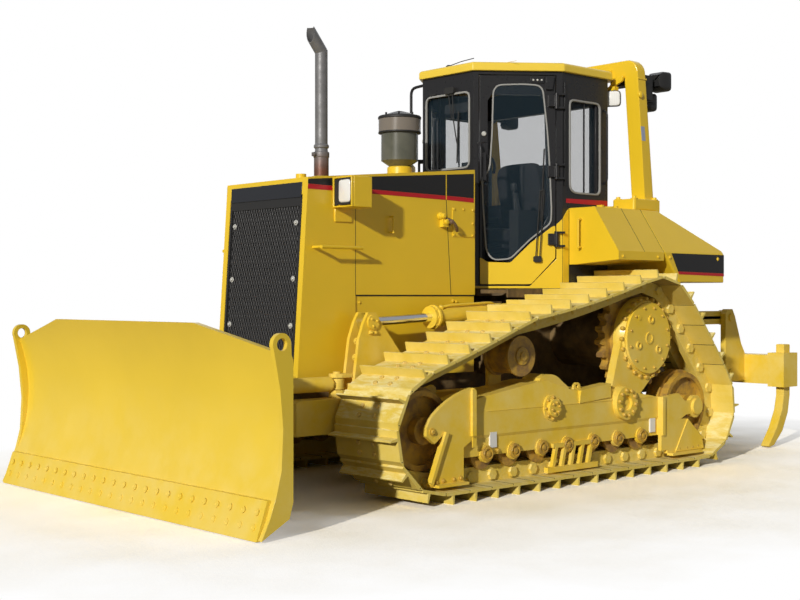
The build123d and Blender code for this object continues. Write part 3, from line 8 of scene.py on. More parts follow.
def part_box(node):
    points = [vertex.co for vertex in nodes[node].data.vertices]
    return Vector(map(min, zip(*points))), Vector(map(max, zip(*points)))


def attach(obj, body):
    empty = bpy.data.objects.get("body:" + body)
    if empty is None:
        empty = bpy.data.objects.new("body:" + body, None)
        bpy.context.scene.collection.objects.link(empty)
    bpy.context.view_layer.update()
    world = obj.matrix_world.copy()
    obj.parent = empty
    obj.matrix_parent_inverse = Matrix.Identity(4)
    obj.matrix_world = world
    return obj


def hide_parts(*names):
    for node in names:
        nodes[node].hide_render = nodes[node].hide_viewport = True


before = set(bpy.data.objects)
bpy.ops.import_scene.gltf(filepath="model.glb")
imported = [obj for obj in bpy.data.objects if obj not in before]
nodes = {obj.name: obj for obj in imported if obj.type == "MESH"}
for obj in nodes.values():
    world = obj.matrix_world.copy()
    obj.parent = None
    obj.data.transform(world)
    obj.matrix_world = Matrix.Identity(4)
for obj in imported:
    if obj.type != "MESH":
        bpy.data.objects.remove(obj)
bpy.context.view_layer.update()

# x in the part's source is measured from between the idlers; the frame's own
# x is that plus DATUM
DATUM = 0.135
AHEAD, LEFT, UP = (1, 0, 0), (0, 1, 0), (0, 0, 1)


def new_object(name, data):
    made = bpy.data.objects.new(name, data)
    bpy.context.scene.collection.objects.link(made)
    return made


# ---- node trees ----------------------------------------------------------------
class Tree:
    """A node tree with short ways to add to it."""

    def __init__(self, tree):
        self.tree = tree

    def feed(self, socket, value):
        """Links a socket to another's output, or gives it a constant."""
        if isinstance(value, bpy.types.NodeSocket):
            self.tree.links.new(value, socket)
        else:
            socket.default_value = value

    def add(self, kind, inputs=(), **settings):
        node = self.tree.nodes.new(kind)
        for key, value in settings.items():
            setattr(node, key, value)
        for key, value in dict(inputs).items():
            self.feed(node.inputs[key], value)
        return node

    def math(self, operation, *values):
        return self.add("ShaderNodeMath", enumerate(values), operation=operation).outputs[0]

    def seen_ray(self):
        """1 for what is looked at, straight or through glass, and 0 for what only gives light."""
        path = self.add("ShaderNodeLightPath").outputs
        return self.math("MAXIMUM", path["Is Camera Ray"], path["Is Transmission Ray"])

    def blend(self, share, a, b):
        """Mix of two shaders."""
        return self.add("ShaderNodeMixShader", {"Fac": share, 1: a, 2: b}).outputs[0]


class Shader(Tree):
    """A material's node tree."""

    def __init__(self, name):
        self.material = bpy.data.materials.new(name)
        self.material.use_nodes = True
        super().__init__(self.material.node_tree)
        self.principled = self.tree.nodes["Principled BSDF"]
        self.place = self.add("ShaderNodeTexCoord").outputs["Object"]

    def set(self, socket, value):
        self.feed(self.principled.inputs[socket], value)

    def stretched(self, scale):
        return self.add("ShaderNodeMapping", {"Scale": scale, "Vector": self.place}).outputs["Vector"]

    def noise(self, scale, detail=4.0, roughness=0.55, distortion=0.0, stretch=None):
        where = self.place if stretch is None else self.stretched(stretch)
        inputs = {"Scale": scale, "Detail": detail, "Roughness": roughness, "Distortion": distortion,
                "Vector": where}
        return self.add("ShaderNodeTexNoise", inputs).outputs["Fac"]

    def ramp(self, source, low, high, start=0.0, end=1.0):
        inputs = {"From Min": low, "From Max": high, "To Min": start, "To Max": end, "Value": source}
        return self.add("ShaderNodeMapRange", inputs, clamp=True).outputs["Result"]

    def mix(self, share, a, b):
        """Mix of two colours, each a tuple or a socket, by a share from 0 to 1."""
        node = self.add("ShaderNodeMix", data_type="RGBA")
        self.feed(node.inputs["Factor"], share)
        for name, value in (("A", a), ("B", b)):
            socket = [s for s in node.inputs if s.name == name and s.type == "RGBA"][0]
            self.feed(socket, (*value, 1.0) if isinstance(value, tuple) else value)
        return [s for s in node.outputs if s.type == "RGBA"][0]

    def axis(self, name):
        return self.add("ShaderNodeSeparateXYZ", {0: self.place}).outputs[name]

    def up(self):
        """How far a face looks up, from -1 to 1."""
        normal = self.add("ShaderNodeNewGeometry").outputs["Normal"]
        return self.add("ShaderNodeSeparateXYZ", {0: normal}).outputs["Z"]

    def bump(self, height, strength, distance):
        inputs = {"Strength": strength, "Distance": distance, "Height": height}
        normal = self.add("ShaderNodeBump", inputs).outputs["Normal"]
        self.set("Normal", normal)
        return normal

    def color(self, source):
        self.set("Base Color", (*source, 1.0) if isinstance(source, tuple) else source)

    def roughness(self, source):
        self.set("Roughness", source)


# ---- camera and light ------------------------------------------------------------
def aim(item, direction):
    item.rotation_mode = "QUATERNION"
    item.rotation_quaternion = Vector(direction).to_track_quat("-Z", "Y")


def make_camera():
    data = bpy.data.cameras.new("camera")
    data.lens = 58.05
    data.sensor_width = 36.0
    data.clip_end = 300.0
    camera = new_object("camera", data)
    camera.location = (6.597 + DATUM, 6.648, 1.23)
    aim(camera, (-0.6743, -0.7384, -0.0023))
    bpy.context.scene.camera = camera


def make_sun(name, strength, spread, color, direction):
    data = bpy.data.lights.new(name, "SUN")
    data.energy = strength
    data.angle = math.radians(spread)
    data.color = color
    aim(new_object(name, data), direction)


WHITE = (1.0, 1.0, 1.0, 1.0)
AMBIENT = 0.17             # strength of the light from all round
MIRRORED = 0.22            # share of the white studio that mirrors see


def make_lights():
    make_sun("sun", 3.2, 1.6, (1.0, 0.965, 0.9), (-0.875, -0.368, -0.33))
    # wide weak light from behind, for the sides that the sun doesn't reach
    make_sun("fill", 0.85, 70.0, (0.93, 0.96, 1.0), (0.8, 0.5, -0.22))

    world = bpy.data.worlds.new("world")
    bpy.context.scene.world = world
    world.use_nodes = True
    world.node_tree.nodes.clear()
    t = Tree(world.node_tree)
    glossy = t.add("ShaderNodeLightPath").outputs["Is Glossy Ray"]
    share = t.math("MULTIPLY_ADD", glossy, MIRRORED, t.seen_ray())
    ambient = t.add("ShaderNodeBackground", {"Color": (0.9, 0.95, 1.0, 1.0), "Strength": AMBIENT})
    white = t.add("ShaderNodeBackground", {"Color": WHITE, "Strength": 1.0})
    t.add("ShaderNodeOutputWorld", {"Surface": t.blend(share, ambient.outputs[0], white.outputs[0])})
    bpy.context.scene.view_settings.view_transform = "Standard"


PAINT = (0.84, 0.565, 0.022)
PAINT_WORN = (0.82, 0.585, 0.042)
DUST = (0.84, 0.67, 0.22)
PALE_DUST = (0.84, 0.74, 0.36)


def paint(name, base, dust_top, dust_share, rough=0.36):
    """Gloss machine paint with faint mottling, dust lying on it and dust thrown up low down."""
    s = Shader(name)
    broad = s.noise(1.3, 3.0)
    fine = s.noise(38.0, 5.0, 0.6)
    tone = s.mix(s.ramp(broad, 0.35, 0.7), base, tuple(c * 0.93 for c in base))
    lying = s.math("MULTIPLY", s.ramp(s.up(), 0.55, 0.98), s.ramp(fine, 0.35, 0.65, 0.35, 0.8))
    low = s.ramp(s.axis("Z"), dust_top, dust_top - 0.55)
    thrown = s.math("MULTIPLY", low, s.ramp(s.noise(5.0, 6.0, 0.65), 0.38, 0.68, 0.15, 1.0))
    dusty = s.math("MULTIPLY", s.math("MAXIMUM", lying, thrown), dust_share)
    s.color(s.mix(dusty, tone, DUST))
    s.roughness(s.math("ADD", s.math("MULTIPLY", dusty, 0.45),
            s.ramp(fine, 0.3, 0.7, rough - 0.03, rough + 0.05)))
    s.set("Specular IOR Level", 0.45)
    s.set("Coat Weight", 0.25)
    s.set("Coat Roughness", 0.18)
    s.bump(s.noise(190.0, 2.0), 0.1, 0.0006)
    return s.material


def shoe_material():
    """Track shoes: machine paint rubbed thin and dusted pale, scuffed on the grousers, with painted shade
    on faces that look down.
    """
    s = Shader("track_shoe_paint")
    broad = s.noise(4.0, 5.0, 0.62)
    scuff = s.noise(26.0, 6.0, 0.7, 0.4, (1.0, 0.25, 1.0))
    grit = s.noise(140.0, 3.0)
    top = s.ramp(s.up(), -0.2, 0.5)
    tone = s.mix(s.ramp(broad, 0.35, 0.65), (0.72, 0.53, 0.07), (0.78, 0.61, 0.15))
    pale = s.mix(s.ramp(scuff, 0.42, 0.62), tone, PALE_DUST)
    mixed = s.mix(top, tone, pale)
    worn = s.mix(s.math("MULTIPLY", s.ramp(scuff, 0.66, 0.74), 0.5), mixed, (0.42, 0.31, 0.16))
    # faces that look down turn dark brown: painted shade on the shoes' undersides
    inside = s.math("MULTIPLY", s.ramp(s.up(), -0.6, -0.92), 0.72)
    s.color(s.mix(inside, worn, (0.15, 0.085, 0.03)))
    s.roughness(s.ramp(grit, 0.3, 0.7, 0.55, 0.75))
    s.set("Specular IOR Level", 0.35)
    s.bump(s.math("ADD", grit, s.math("MULTIPLY", scuff, 1.6)), 0.28, 0.0014)
    return s.material


def metal(name, base, other, rough, metallic=0.0, scale=9.0, bumpy=0.25):
    """Bare or thinly painted castings and bars with two mottled tones."""
    s = Shader(name)
    patch = s.noise(scale, 6.0, 0.65)
    grit = s.noise(scale * 14, 3.0)
    s.color(s.mix(s.ramp(patch, 0.4, 0.62), base, other))
    s.roughness(s.ramp(grit, 0.3, 0.7, rough - 0.06, rough + 0.1))
    s.set("Metallic", metallic)
    s.bump(grit, bumpy, 0.001)
    return s.material


def satin(name, base, rough, bumpy=0.05):
    """Plain coat with faint dust, for cab posts, plastics and rubber."""
    s = Shader(name)
    fine = s.noise(60.0, 4.0)
    lying = s.math("MULTIPLY", s.ramp(s.up(), 0.5, 1.0), s.ramp(s.noise(9.0, 5.0), 0.35, 0.7, 0.1, 0.45))
    s.color(s.mix(lying, tuple(base), tuple(0.6 * c + 0.1 for c in base)))
    s.roughness(s.ramp(fine, 0.3, 0.7, rough - 0.04, rough + 0.08))
    s.set("Specular IOR Level", 0.38)
    s.bump(s.noise(240.0, 2.0), bumpy, 0.0005)
    return s.material


def chrome_material():
    s = Shader("rod_chrome_plate")
    s.color((0.82, 0.82, 0.84))
    s.set("Metallic", 1.0)
    s.roughness(s.ramp(s.noise(80.0, 2.0, 0.5, 0.0, (0.1, 1.0, 1.0)), 0.3, 0.7, 0.08, 0.18))
    return s.material


def glass_material(name, tint, clear):
    """Tinted pane: mostly see-through, with a gloss coat that mirrors the surroundings."""
    s = Shader(name)
    s.color(tint)
    s.set("Roughness", 0.03)
    s.set("Specular IOR Level", 0.6)
    s.set("IOR", 1.5)
    s.set("Alpha", 1.0 - clear)
    s.material.surface_render_method = "BLENDED"
    return s.material


def glow_material(name, base, rough):
    """Lamp glass: pale and glossy over a ribbed reflector."""
    s = Shader(name)
    ribs = s.add("ShaderNodeTexWave", {"Scale": 26.0, "Vector": s.place}, wave_type="BANDS",
            bands_direction="Y")
    s.color(s.mix(s.ramp(ribs.outputs["Fac"], 0.2, 0.8, 0.0, 0.5), base, tuple(c * 0.86 for c in base)))
    s.roughness(rough)
    s.set("Coat Weight", 0.8)
    s.set("Coat Roughness", 0.03)
    return s.material


def stack_material():
    """Heat-dulled steel pipe, rusty at its foot."""
    s = Shader("stack_pipe")
    z = s.axis("Z")
    patch = s.noise(16.0, 6.0, 0.7)
    steel = s.mix(s.ramp(patch, 0.35, 0.7), (0.22, 0.22, 0.23), (0.15, 0.15, 0.155))
    rust = s.mix(s.ramp(patch, 0.4, 0.62), (0.16, 0.06, 0.035), (0.1, 0.05, 0.035))
    s.color(s.mix(s.ramp(z, 2.2, 2.06), steel, rust))
    s.set("Metallic", 0.35)
    s.roughness(s.ramp(patch, 0.3, 0.7, 0.42, 0.6))
    s.bump(patch, 0.15, 0.001)
    return s.material


def precleaner_material():
    """Air precleaner: black lid, warm grey band and a smoky green-grey bowl."""
    s = Shader("precleaner_plastic")
    z = s.axis("Z")
    bowl = s.mix(s.ramp(s.noise(7.0, 4.0), 0.35, 0.65), (0.085, 0.088, 0.068), (0.12, 0.12, 0.095))
    band = s.mix(s.ramp(z, 2.371, 2.374), bowl, (0.19, 0.165, 0.14))
    s.color(s.mix(s.ramp(z, 2.466, 2.47), band, (0.018, 0.018, 0.018)))
    s.roughness(s.ramp(z, 2.466, 2.47, 0.22, 0.5))
    s.set("Coat Weight", 0.3)
    return s.material


def ground_material():
    """Pale packed gravel near the machine that fades to a white studio floor."""
    s = Shader("pale_ground")
    distance = s.add("ShaderNodeVectorMath", {0: s.stretched((0.3, 0.42, 0.0))}, operation="LENGTH")
    reach = s.math("ADD", distance.outputs["Value"], s.math("MULTIPLY", s.noise(1.1, 5.0, 0.6), 0.5))
    stones = s.noise(46.0, 8.0, 0.74)
    # the low sun leaves a floor dim, so the floor that is looked at is paler than the
    # one that lights the machine: its colours pass 1
    sand = s.mix(s.ramp(s.noise(2.2, 5.0, 0.6), 0.35, 0.65), (1.46, 1.37, 1.15), (1.6, 1.52, 1.37))
    grit = s.mix(s.ramp(stones, 0.55, 0.66), sand, (0.92, 0.82, 0.63))
    s.color((0.5, 0.46, 0.38))
    s.roughness(0.9)
    s.set("Specular IOR Level", 0.1)
    normal = s.bump(stones, 0.35, 0.01)
    direct = s.seen_ray()
    pale = s.add("ShaderNodeBsdfDiffuse", {"Color": grit, "Normal": normal})
    near = s.blend(direct, s.principled.outputs[0], pale.outputs[0])
    white = s.add("ShaderNodeEmission", {"Color": WHITE, "Strength": 1.0})
    faded = s.math("MULTIPLY", direct, s.ramp(reach, 0.95, 1.75))
    surface = s.tree.nodes["Material Output"].inputs["Surface"]
    s.feed(surface, s.blend(faded, near, white.outputs[0]))
    return s.material


MATERIALS = {
    "yellow": paint("machine_paint", PAINT, 0.9, 0.38),
    # a paler copy of the machine paint: painted light on the roof
    "roof_lit_yellow": paint("roof_painted_light", (0.88, 0.63, 0.06), 0.9, 0.5),
    "yellow_low": paint("machine_paint_low", PAINT, 1.3, 0.6, 0.42),
    "blade_yellow": paint("blade_paint", PAINT_WORN, 0.75, 0.42, 0.34),
    "cab_black": satin("cab_black_paint", (0.016, 0.016, 0.018), 0.3),
    "flat_black": satin("flat_black_paint", (0.02, 0.02, 0.021), 0.55),
    "rubber": satin("rubber_black", (0.022, 0.022, 0.022), 0.7, 0.2),
    "trim_grey": satin("window_rubber_grey", (0.3, 0.3, 0.29), 0.55),
    "console": satin("console_plastic", (0.035, 0.037, 0.04), 0.5, 0.2),
    "seat": satin("seat_cloth", (0.03, 0.03, 0.034), 0.8, 0.6),
    "stripe_red": satin("stripe_red", (0.5, 0.012, 0.02), 0.32),
    "stripe_black": satin("stripe_black", (0.012, 0.012, 0.014), 0.32),
    "label": satin("label_white", (0.78, 0.78, 0.76), 0.4),
    "label_grey": satin("label_grey", (0.34, 0.38, 0.52), 0.4),
    "header_black": satin("header_black", (0.018, 0.02, 0.026), 0.35),
    "grille_steel": satin("grille_steel", (0.035, 0.035, 0.037), 0.5, 0.1),
    "lamp_black": satin("lamp_black", (0.018, 0.018, 0.019), 0.38),
    "zinc": metal("zinc_plate", (0.62, 0.62, 0.58), (0.5, 0.5, 0.48), 0.35, 0.3, 60.0, 0.1),
    "bolt_dark": metal("latch_steel", (0.13, 0.08, 0.05), (0.22, 0.14, 0.08), 0.5, 0.2, 40.0),
    "shoe_bolt": metal("shoe_bolt_paint", (0.66, 0.46, 0.09), (0.74, 0.56, 0.2), 0.55, 0.0,
            50.0),
    "frame_bolt": metal("frame_bolt_paint", (0.66, 0.42, 0.04), (0.56, 0.36, 0.06), 0.5, 0.0,
            50.0),
    # darker, browner copy of the yellow paint: painted shade on the roller ends
    "roller_end": metal("roller_end_painted_shade", (0.6, 0.37, 0.04), (0.36, 0.22, 0.05), 0.5, 0.0,
            30.0),
    "shoe": shoe_material(),
    # darker, browner copy of the yellow paint: painted shade on the sprockets, rollers and idlers
    "running": metal("running_gear_painted_shade", (0.55, 0.33, 0.04), (0.26, 0.15, 0.05), 0.5),
    # dark brown in place of the yellow paint: painted shade on the main frame, engine, platform and
    # ripper mount
    "dark": metal("frame_painted_shade", (0.1, 0.065, 0.03), (0.2, 0.13, 0.05), 0.65),
    "edge": metal("edge_paint", (0.8, 0.57, 0.05), (0.8, 0.6, 0.12), 0.42, 0.0, 4.0, 0.12),
    "chrome": chrome_material(),
    "stack": stack_material(),
    "precleaner": precleaner_material(),
    "glass": glass_material("tinted_pane", (0.02, 0.045, 0.068), 0.82),
    "lamp": glow_material("lamp_glass", (0.86, 0.86, 0.84), 0.15),
    "ground": ground_material(),
}


# ---- dressing the CAD nodes ---------------------------------------------------
def round_edges(piece, width, angle):
    """Rounds the edges that turn more than an angle in degrees, by a modifier."""
    bevel = piece.modifiers.new("rounded_edges", "BEVEL")
    bevel.width = width
    bevel.segments = 2
    bevel.limit_method = "ANGLE"
    bevel.angle_limit = math.radians(angle)


def dress(name, material, width):
    """Gives a CAD node its material, and rounds its edges."""
    node = nodes[name]
    node.data.materials.clear()
    node.data.materials.append(MATERIALS[material])
    if width > 0:
        node.modifiers.new("weld", "WELD").merge_threshold = 0.00002
        round_edges(node, width, 32)
        node.modifiers.new("normals", "WEIGHTED_NORMAL").keep_sharp = True


# material, edge radius in metres, and the CAD nodes that have them
CAD_LOOKS = (
    ("shoe", 0.003, "track_left track_right"),
    ("running", 0.003, "sprockets rollers"),
    ("running", 0.004, "idlers"),
    ("yellow_low", 0.003, "lift_barrels angle_barrel_left angle_barrel_right tilt_barrel ripper_barrels"),
    ("yellow_low", 0.005, "blade_yoke"),
    ("yellow_low", 0.006, "final_drives c_frame ripper_lower_link ripper_upper_links ripper_shanks"),
    ("yellow_low", 0.008, "track_frame_left track_frame_right ripper_beam"),
    # dark brown: painted shade on the parts under the hood and on the ripper's mount
    ("dark", 0.0, "main_frame engine_block platform"),
    ("dark", 0.006, "ripper_mount"),
    ("yellow", 0.003, "side_panels"),
    ("yellow", 0.006, "hood"),
    ("yellow", 0.008, "fenders"),
    ("yellow", 0.01, "radiator_guard headlamp rear_tank"),
    ("yellow", 0.012, "rops"),
    ("flat_black", 0.0, "grille"),
    ("flat_black", 0.008, "rear_lamps"),
    ("stack", 0.0, "exhaust_stack"),
    ("precleaner", 0.004, "precleaner"),
    ("cab_black", 0.004, "cab_shell door_left door_right"),
    # the cab roof takes the paler paint, which is painted light
    ("roof_lit_yellow", 0.006, "cab_roof"),
    ("glass", 0.0, "cab_glass door_glass_left door_glass_right"),
    ("seat", 0.02, "seat"),
    ("console", 0.008, "controls"),
    ("chrome", 0.002, "lift_rods angle_rod_left angle_rod_right tilt_rod ripper_rods"),
    ("blade_yellow", 0.004, "moldboard"),
    ("edge", 0.003, "cutting_edge"),
)


def make_floor():
    mesh = bpy.data.meshes.new("floor")
    half = 60.0
    mesh.from_pydata([(u, v, 0) for u, v in rect(-half, half, -half, half)], [], [(0, 1, 2, 3)])
    mesh.materials.append(MATERIALS["ground"])
    floor = new_object("floor", mesh)


# ---- making pieces -------------------------------------------------------------
def new_piece(form, name, material):
    """Object with one material from a bmesh, which it uses up."""
    mesh = bpy.data.meshes.new(name)
    form.to_mesh(mesh)
    form.free()
    mesh.materials.append(MATERIALS[material])
    return new_object(name, mesh)


class Maker:
    """Collects simple forms for one piece, in the part source's own x, y and z, in metres."""

    def __init__(self, mesh=None):
        self.mesh = bmesh.new() if mesh is None else mesh

    def skin(self, rings, smooth=True, bored=False):
        """Skin over rings of points, with flat ends; a bored one joins its last ring to its first."""
        rows = [[self.mesh.verts.new((p[0] + DATUM, p[1], p[2])) for p in ring] for ring in rings]
        for near, far in zip(rows, rows[1:] + rows[:1] if bored else rows[1:]):
            for i in range(len(near)):
                face = self.mesh.faces.new((near[i - 1], near[i], far[i], far[i - 1]))
                face.smooth = smooth
        if not bored:
            self.mesh.faces.new(rows[0])
            self.mesh.faces.new(rows[-1])

    def prism(self, plane, outline, low, high):
        self.skin([[place(plane, u, v, w) for u, v in outline] for w in (low, high)], False)

    def box(self, x0, x1, y0, y1, z0, z1):
        self.prism("xy", rect(x0, x1, y0, y1), z0, z1)

    def band(self, plane, outline, inside, outside, low, high):
        """Flat ring along a closed outline, from inside it to outside it."""
        inner, outer = offset(outline, -inside), offset(outline, outside)
        loops = rect(inner, outer, low, high)
        self.skin([[place(plane, u, v, w) for u, v in line] for line, w in loops], False, True)

    def pillow(self, outline, steps):
        """Form along x from an outline in y and z; each step is (x, how far the outline shrinks)."""
        self.skin([[(x, u, v) for u, v in offset(outline, -inset)] for x, inset in steps])

    def lathe(self, center, axis, profile, sides=24, bored=False):
        """Turned form; profile is (radius, distance along axis from center)."""
        center, axis = Vector(center), Vector(axis).normalized()
        rings = [circle(center + axis * along, axis, radius, sides) for radius, along in profile]
        self.skin(rings, True, bored)

    def bolt(self, center, normal, radius, height, washer=True):
        """Hexagon bolt head, on its washer."""
        self.lathe(center, normal, [(radius, -0.002), (radius, height * 0.8), (radius * 0.8, height)], 6)
        if washer:
            self.lathe(center, normal, [(radius * 1.5, -0.002), (radius * 1.5, height * 0.25)], 12)

    def bolt_ring(self, center, normal, ring_radius, count, radius, height):
        axis = Vector(normal).normalized()
        for spot in circle(Vector(center), axis, ring_radius, count):
            self.bolt(spot, axis, radius, height, False)

    def tube(self, points, radius, sides=10):
        """Round bar along a line of points."""
        points = [Vector(p) for p in points]
        across, rings = None, []
        for i, point in enumerate(points):
            ahead = (points[min(i + 1, len(points) - 1)] - points[max(i - 1, 0)]).normalized()
            across = ahead.orthogonal() if across is None else across - ahead * across.dot(ahead)
            across.normalize()
            rings.append(circle(point, ahead, radius, sides, across))
        self.skin(rings)

    def flip(self, verts):
        for vert in verts:
            vert.co.y = -vert.co.y
        return self

    def mirror(self):
        """Adds the same forms on the machine's other side."""
        everything = self.mesh.verts[:] + self.mesh.edges[:] + self.mesh.faces[:]
        made = bmesh.ops.duplicate(self.mesh, geom=everything)["geom"]
        return self.flip([g for g in made if isinstance(g, bmesh.types.BMVert)])

    def done(self, name, material, slot="machine_yellow", rounding=0.0, body="chassis", replaces=()):
        bmesh.ops.recalc_face_normals(self.mesh, faces=self.mesh.faces[:])
        piece = new_piece(self.mesh, name, material)
        piece.data.set_sharp_from_angle(angle=math.radians(38))
        if rounding > 0:
            round_edges(piece, rounding, 35)
        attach(piece, body)
        if replaces:
            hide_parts(*replaces)


DOOR_START = Vector((0.06, 0.262, 0.0))
DOOR_ALONG = (Vector((-0.44, 0.655, 0.0)) - DOOR_START).normalized()
DOOR_OUT = Vector((DOOR_ALONG.y, -DOOR_ALONG.x, 0.0))


def place(plane, u, v, w):
    """Point from two coordinates in a plane and one across it; "door" is the left door's wall."""
    if plane == "door":
        return DOOR_START + DOOR_ALONG * u + DOOR_OUT * w + Vector((0, 0, v))
    return {"xz": (u, w, v), "yz": (w, u, v), "xy": (u, v, w)}[plane]

def rect(u0, u1, v0, v1):
    return [(u0, v0), (u1, v0), (u1, v1), (u0, v1)]


def circle(center, axis, radius, count, across=None):
    """Points round a center, square to an axis of length 1."""
    across = axis.orthogonal().normalized() if across is None else across
    other = axis.cross(across)
    turns = [2 * math.pi * i / count for i in range(count)]
    return [center + (across * math.cos(t) + other * math.sin(t)) * radius for t in turns]
def offset(outline, distance):
    """Closed outline moved outward, with mitred corners."""
    corners = [Vector(p) for p in outline]
    pairs = list(zip(corners, corners[1:] + corners[:1]))
    sign = 1 if sum(a.x * b.y - b.x * a.y for a, b in pairs) > 0 else -1
    moved = []
    for i, corner in enumerate(corners):
        back = (corner - corners[i - 1]).normalized()
        ahead = (corners[(i + 1) % len(corners)] - corner).normalized()
        n1, n2 = Vector((back.y, -back.x)) * sign, Vector((ahead.y, -ahead.x)) * sign
        moved.append(tuple(corner + (n1 + n2) * (distance / max(1 + n1.dot(n2), 0.3))))
    return moved


def rounded(points, radius, closed=True, steps=4):
    """Line of corners with each corner drawn as a short curve."""
    corners = [Vector(p) for p in points]
    count = len(corners)
    line = []
    for i, corner in enumerate(corners):
        if not closed and i in (0, count - 1):
            line.append(tuple(corner))
            continue
        before, after = corners[i - 1] - corner, corners[(i + 1) % count] - corner
        start = corner + before * min(radius / before.length, 0.45)
        end = corner + after * min(radius / after.length, 0.45)
        for k in range(steps + 1):
            t = k / steps
            line.append(tuple(start * (1 - t) ** 2 + corner * 2 * t * (1 - t) + end * t ** 2))
    return line


# ---- hood and radiator guard ----------------------------------------------------
def plates(name, material, outlines, low, high, slot="machine_yellow"):
    """Thin flat forms between two values of y, one for each outline in x and z, on both sides."""
    maker = Maker()
    for outline in outlines:
        maker.prism("xz", outline, low, high)
    maker.mirror().done(name, material, slot)


def hood_pieces():
    side = 0.43
    plates("hood_band_black", "stripe_black", [
        [(1.682, 1.926), (1.681, 1.955), (1.153, 2.002), (0.503, 2.055), (0.503, 1.914), (1.153, 1.919)],
        [(0.491, 1.914), (0.491, 2.056), (0.232, 2.078), (0.232, 1.91)],
    ], side - 0.001, side + 0.0015)
    plates("hood_band_red", "stripe_red", [
        [(1.684, 1.895), (1.682, 1.925), (1.153, 1.918), (0.503, 1.913), (0.503, 1.885), (1.153, 1.891)],
        [(0.491, 1.885), (0.491, 1.913), (0.232, 1.909), (0.232, 1.879)],
    ], side - 0.001, side + 0.0018)

    seams = Maker()
    seams.prism("xz", [(0.449, 1.244), (0.454, 1.244), (0.499, 1.886), (0.494, 1.886)], side - 0.006,
            side + 0.0004)
    seams.prism("xz", rect(1.298, 1.302, 1.244, 1.89), side - 0.004, side + 0.0004)
    seams.prism("xz", rect(0.222, 1.298, 1.236, 1.246), side - 0.012, side - 0.004)
    seams.mirror().done("hood_seams", "rubber")

    fasteners = Maker()
    for x, z in ((0.425, 1.826), (0.335, 1.829), (0.245, 1.826), (0.428, 1.735), (0.245, 1.735),
            (0.425, 1.652), (0.335, 1.65), (0.247, 1.652)):
        fasteners.bolt((x, side + 0.005, z), LEFT, 0.0075, 0.006)
    for x, z in ((1.261, 1.196), (0.425, 1.203), (0.391, 1.199), (1.2, 0.8), (0.6, 1.15)):
        fasteners.bolt((x, 0.422, z), LEFT, 0.0085, 0.007)
    for x in (1.346, 1.296):
        fasteners.prism("xz", rounded(rect(x - 0.007, x + 0.007, 0.738, 0.927), 0.006), side - 0.001,
                side + 0.013)
    # clevis and pivots of the door latch
    fasteners.lathe((0.554, side, 1.774), LEFT, [(0.026, -0.002), (0.026, 0.02), (0.018, 0.026),
            (0.018, 0.045), (0.012, 0.05)], 16)
    fasteners.lathe((0.527, side + 0.03, 1.735), LEFT, [(0.02, 0), (0.02, 0.014), (0.012, 0.02)], 16)
    fasteners.mirror().done("hood_fasteners", "yellow", "machine_yellow", 0.0015)

    lever = Maker()
    lever.tube(rounded([(0.53, side + 0.03, 1.752), (0.5, side + 0.062, 1.742),
            (0.452, side + 0.058, 1.7), (0.425, side + 0.03, 1.676)], 0.02, False), 0.0105)
    lever.lathe((0.498, side + 0.003, 1.735), LEFT, [(0.032, 0), (0.03, 0.02), (0.017, 0.03),
            (0.017, 0.058), (0.011, 0.064)], 16)
    lever.mirror().done("hood_latch_lever", "bolt_dark", "dark_steel", 0.001)

    # bare dark panel over the grille, and the rails that frame the grille
    lean = (1.765 - 1.68) / (1.968 - 0.715)

    def front(z):
        """x of the radiator guard's leaning front."""
        return 1.68 + (1.968 - z) * lean

    def sheet(maker, high, low, near, far, y0, y1):
        """Sheet between two heights and two depths behind the guard's front."""
        maker.prism("xz", [(front(high) - near, high), (front(low) - near, low), (front(low) - far, low),
                (front(high) - far, high)], y0, y1)

    panel = Maker()
    sheet(panel, 1.94, 1.846, -0.004, 0.004, -0.374, 0.374)
    panel.done("grille_header", "header_black", "grille_black", 0.002)
    rail = Maker()
    for high, low, near, far, half in ((1.846, 1.792, 0.001, 0.014, 0.376),
            (0.8, 0.778, 0.0, 0.016, 0.378), (1.8, 0.79, 0.0135, 0.015, 0.37)):
        sheet(rail, high, low, near, far, -half, half)
    for y in (-0.378, 0.362):
        sheet(rail, 1.846, 0.778, 0.0, 0.014, y, y + 0.016)
    rail.done("grille_rails", "flat_black", "grille_black", 0.0015)

    # mesh of hexagons: each has a sloping rim and a wall behind it
    grille = bmesh.new()
    columns, rows = 27, 37
    wide, high = 0.724 / columns, 1.0 / rows
    for row in range(rows):
        for column in range(columns - row % 2):
            y = -0.362 + (column + 0.5 + 0.5 * (row % 2)) * wide
            z = 0.796 + (row + 0.5) * high
            inner, outer, back = [], [], []
            for k in range(6):
                turn = math.pi * (k + 0.5) / 3
                c, s = math.cos(turn), math.sin(turn)
                for ring, size, depth in ((outer, 1.0, 0.007), (inner, 0.7, 0.0045), (back, 0.66, 0.009)):
                    zz = z + s * size * high * 0.66
                    yy = y + c * size * wide * 0.578
                    ring.append(grille.verts.new((front(zz) - depth + DATUM, yy, zz)))
            for k in range(6):
                grille.faces.new((outer[k - 1], outer[k], inner[k], inner[k - 1]))
                grille.faces.new((inner[k - 1], inner[k], back[k], back[k - 1]))
    piece = new_piece(grille, "grille_mesh", "grille_steel")
    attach(piece, "chassis")

    studs = Maker()
    for y in (-0.325, 0.325):
        for z in (1.69, 1.343, 1.053):
            studs.bolt((front(z) - 0.006, y, z), (1, 0, lean), 0.012, 0.012)
    studs.done("grille_bolts", "zinc", "rod_chrome", 0.001)


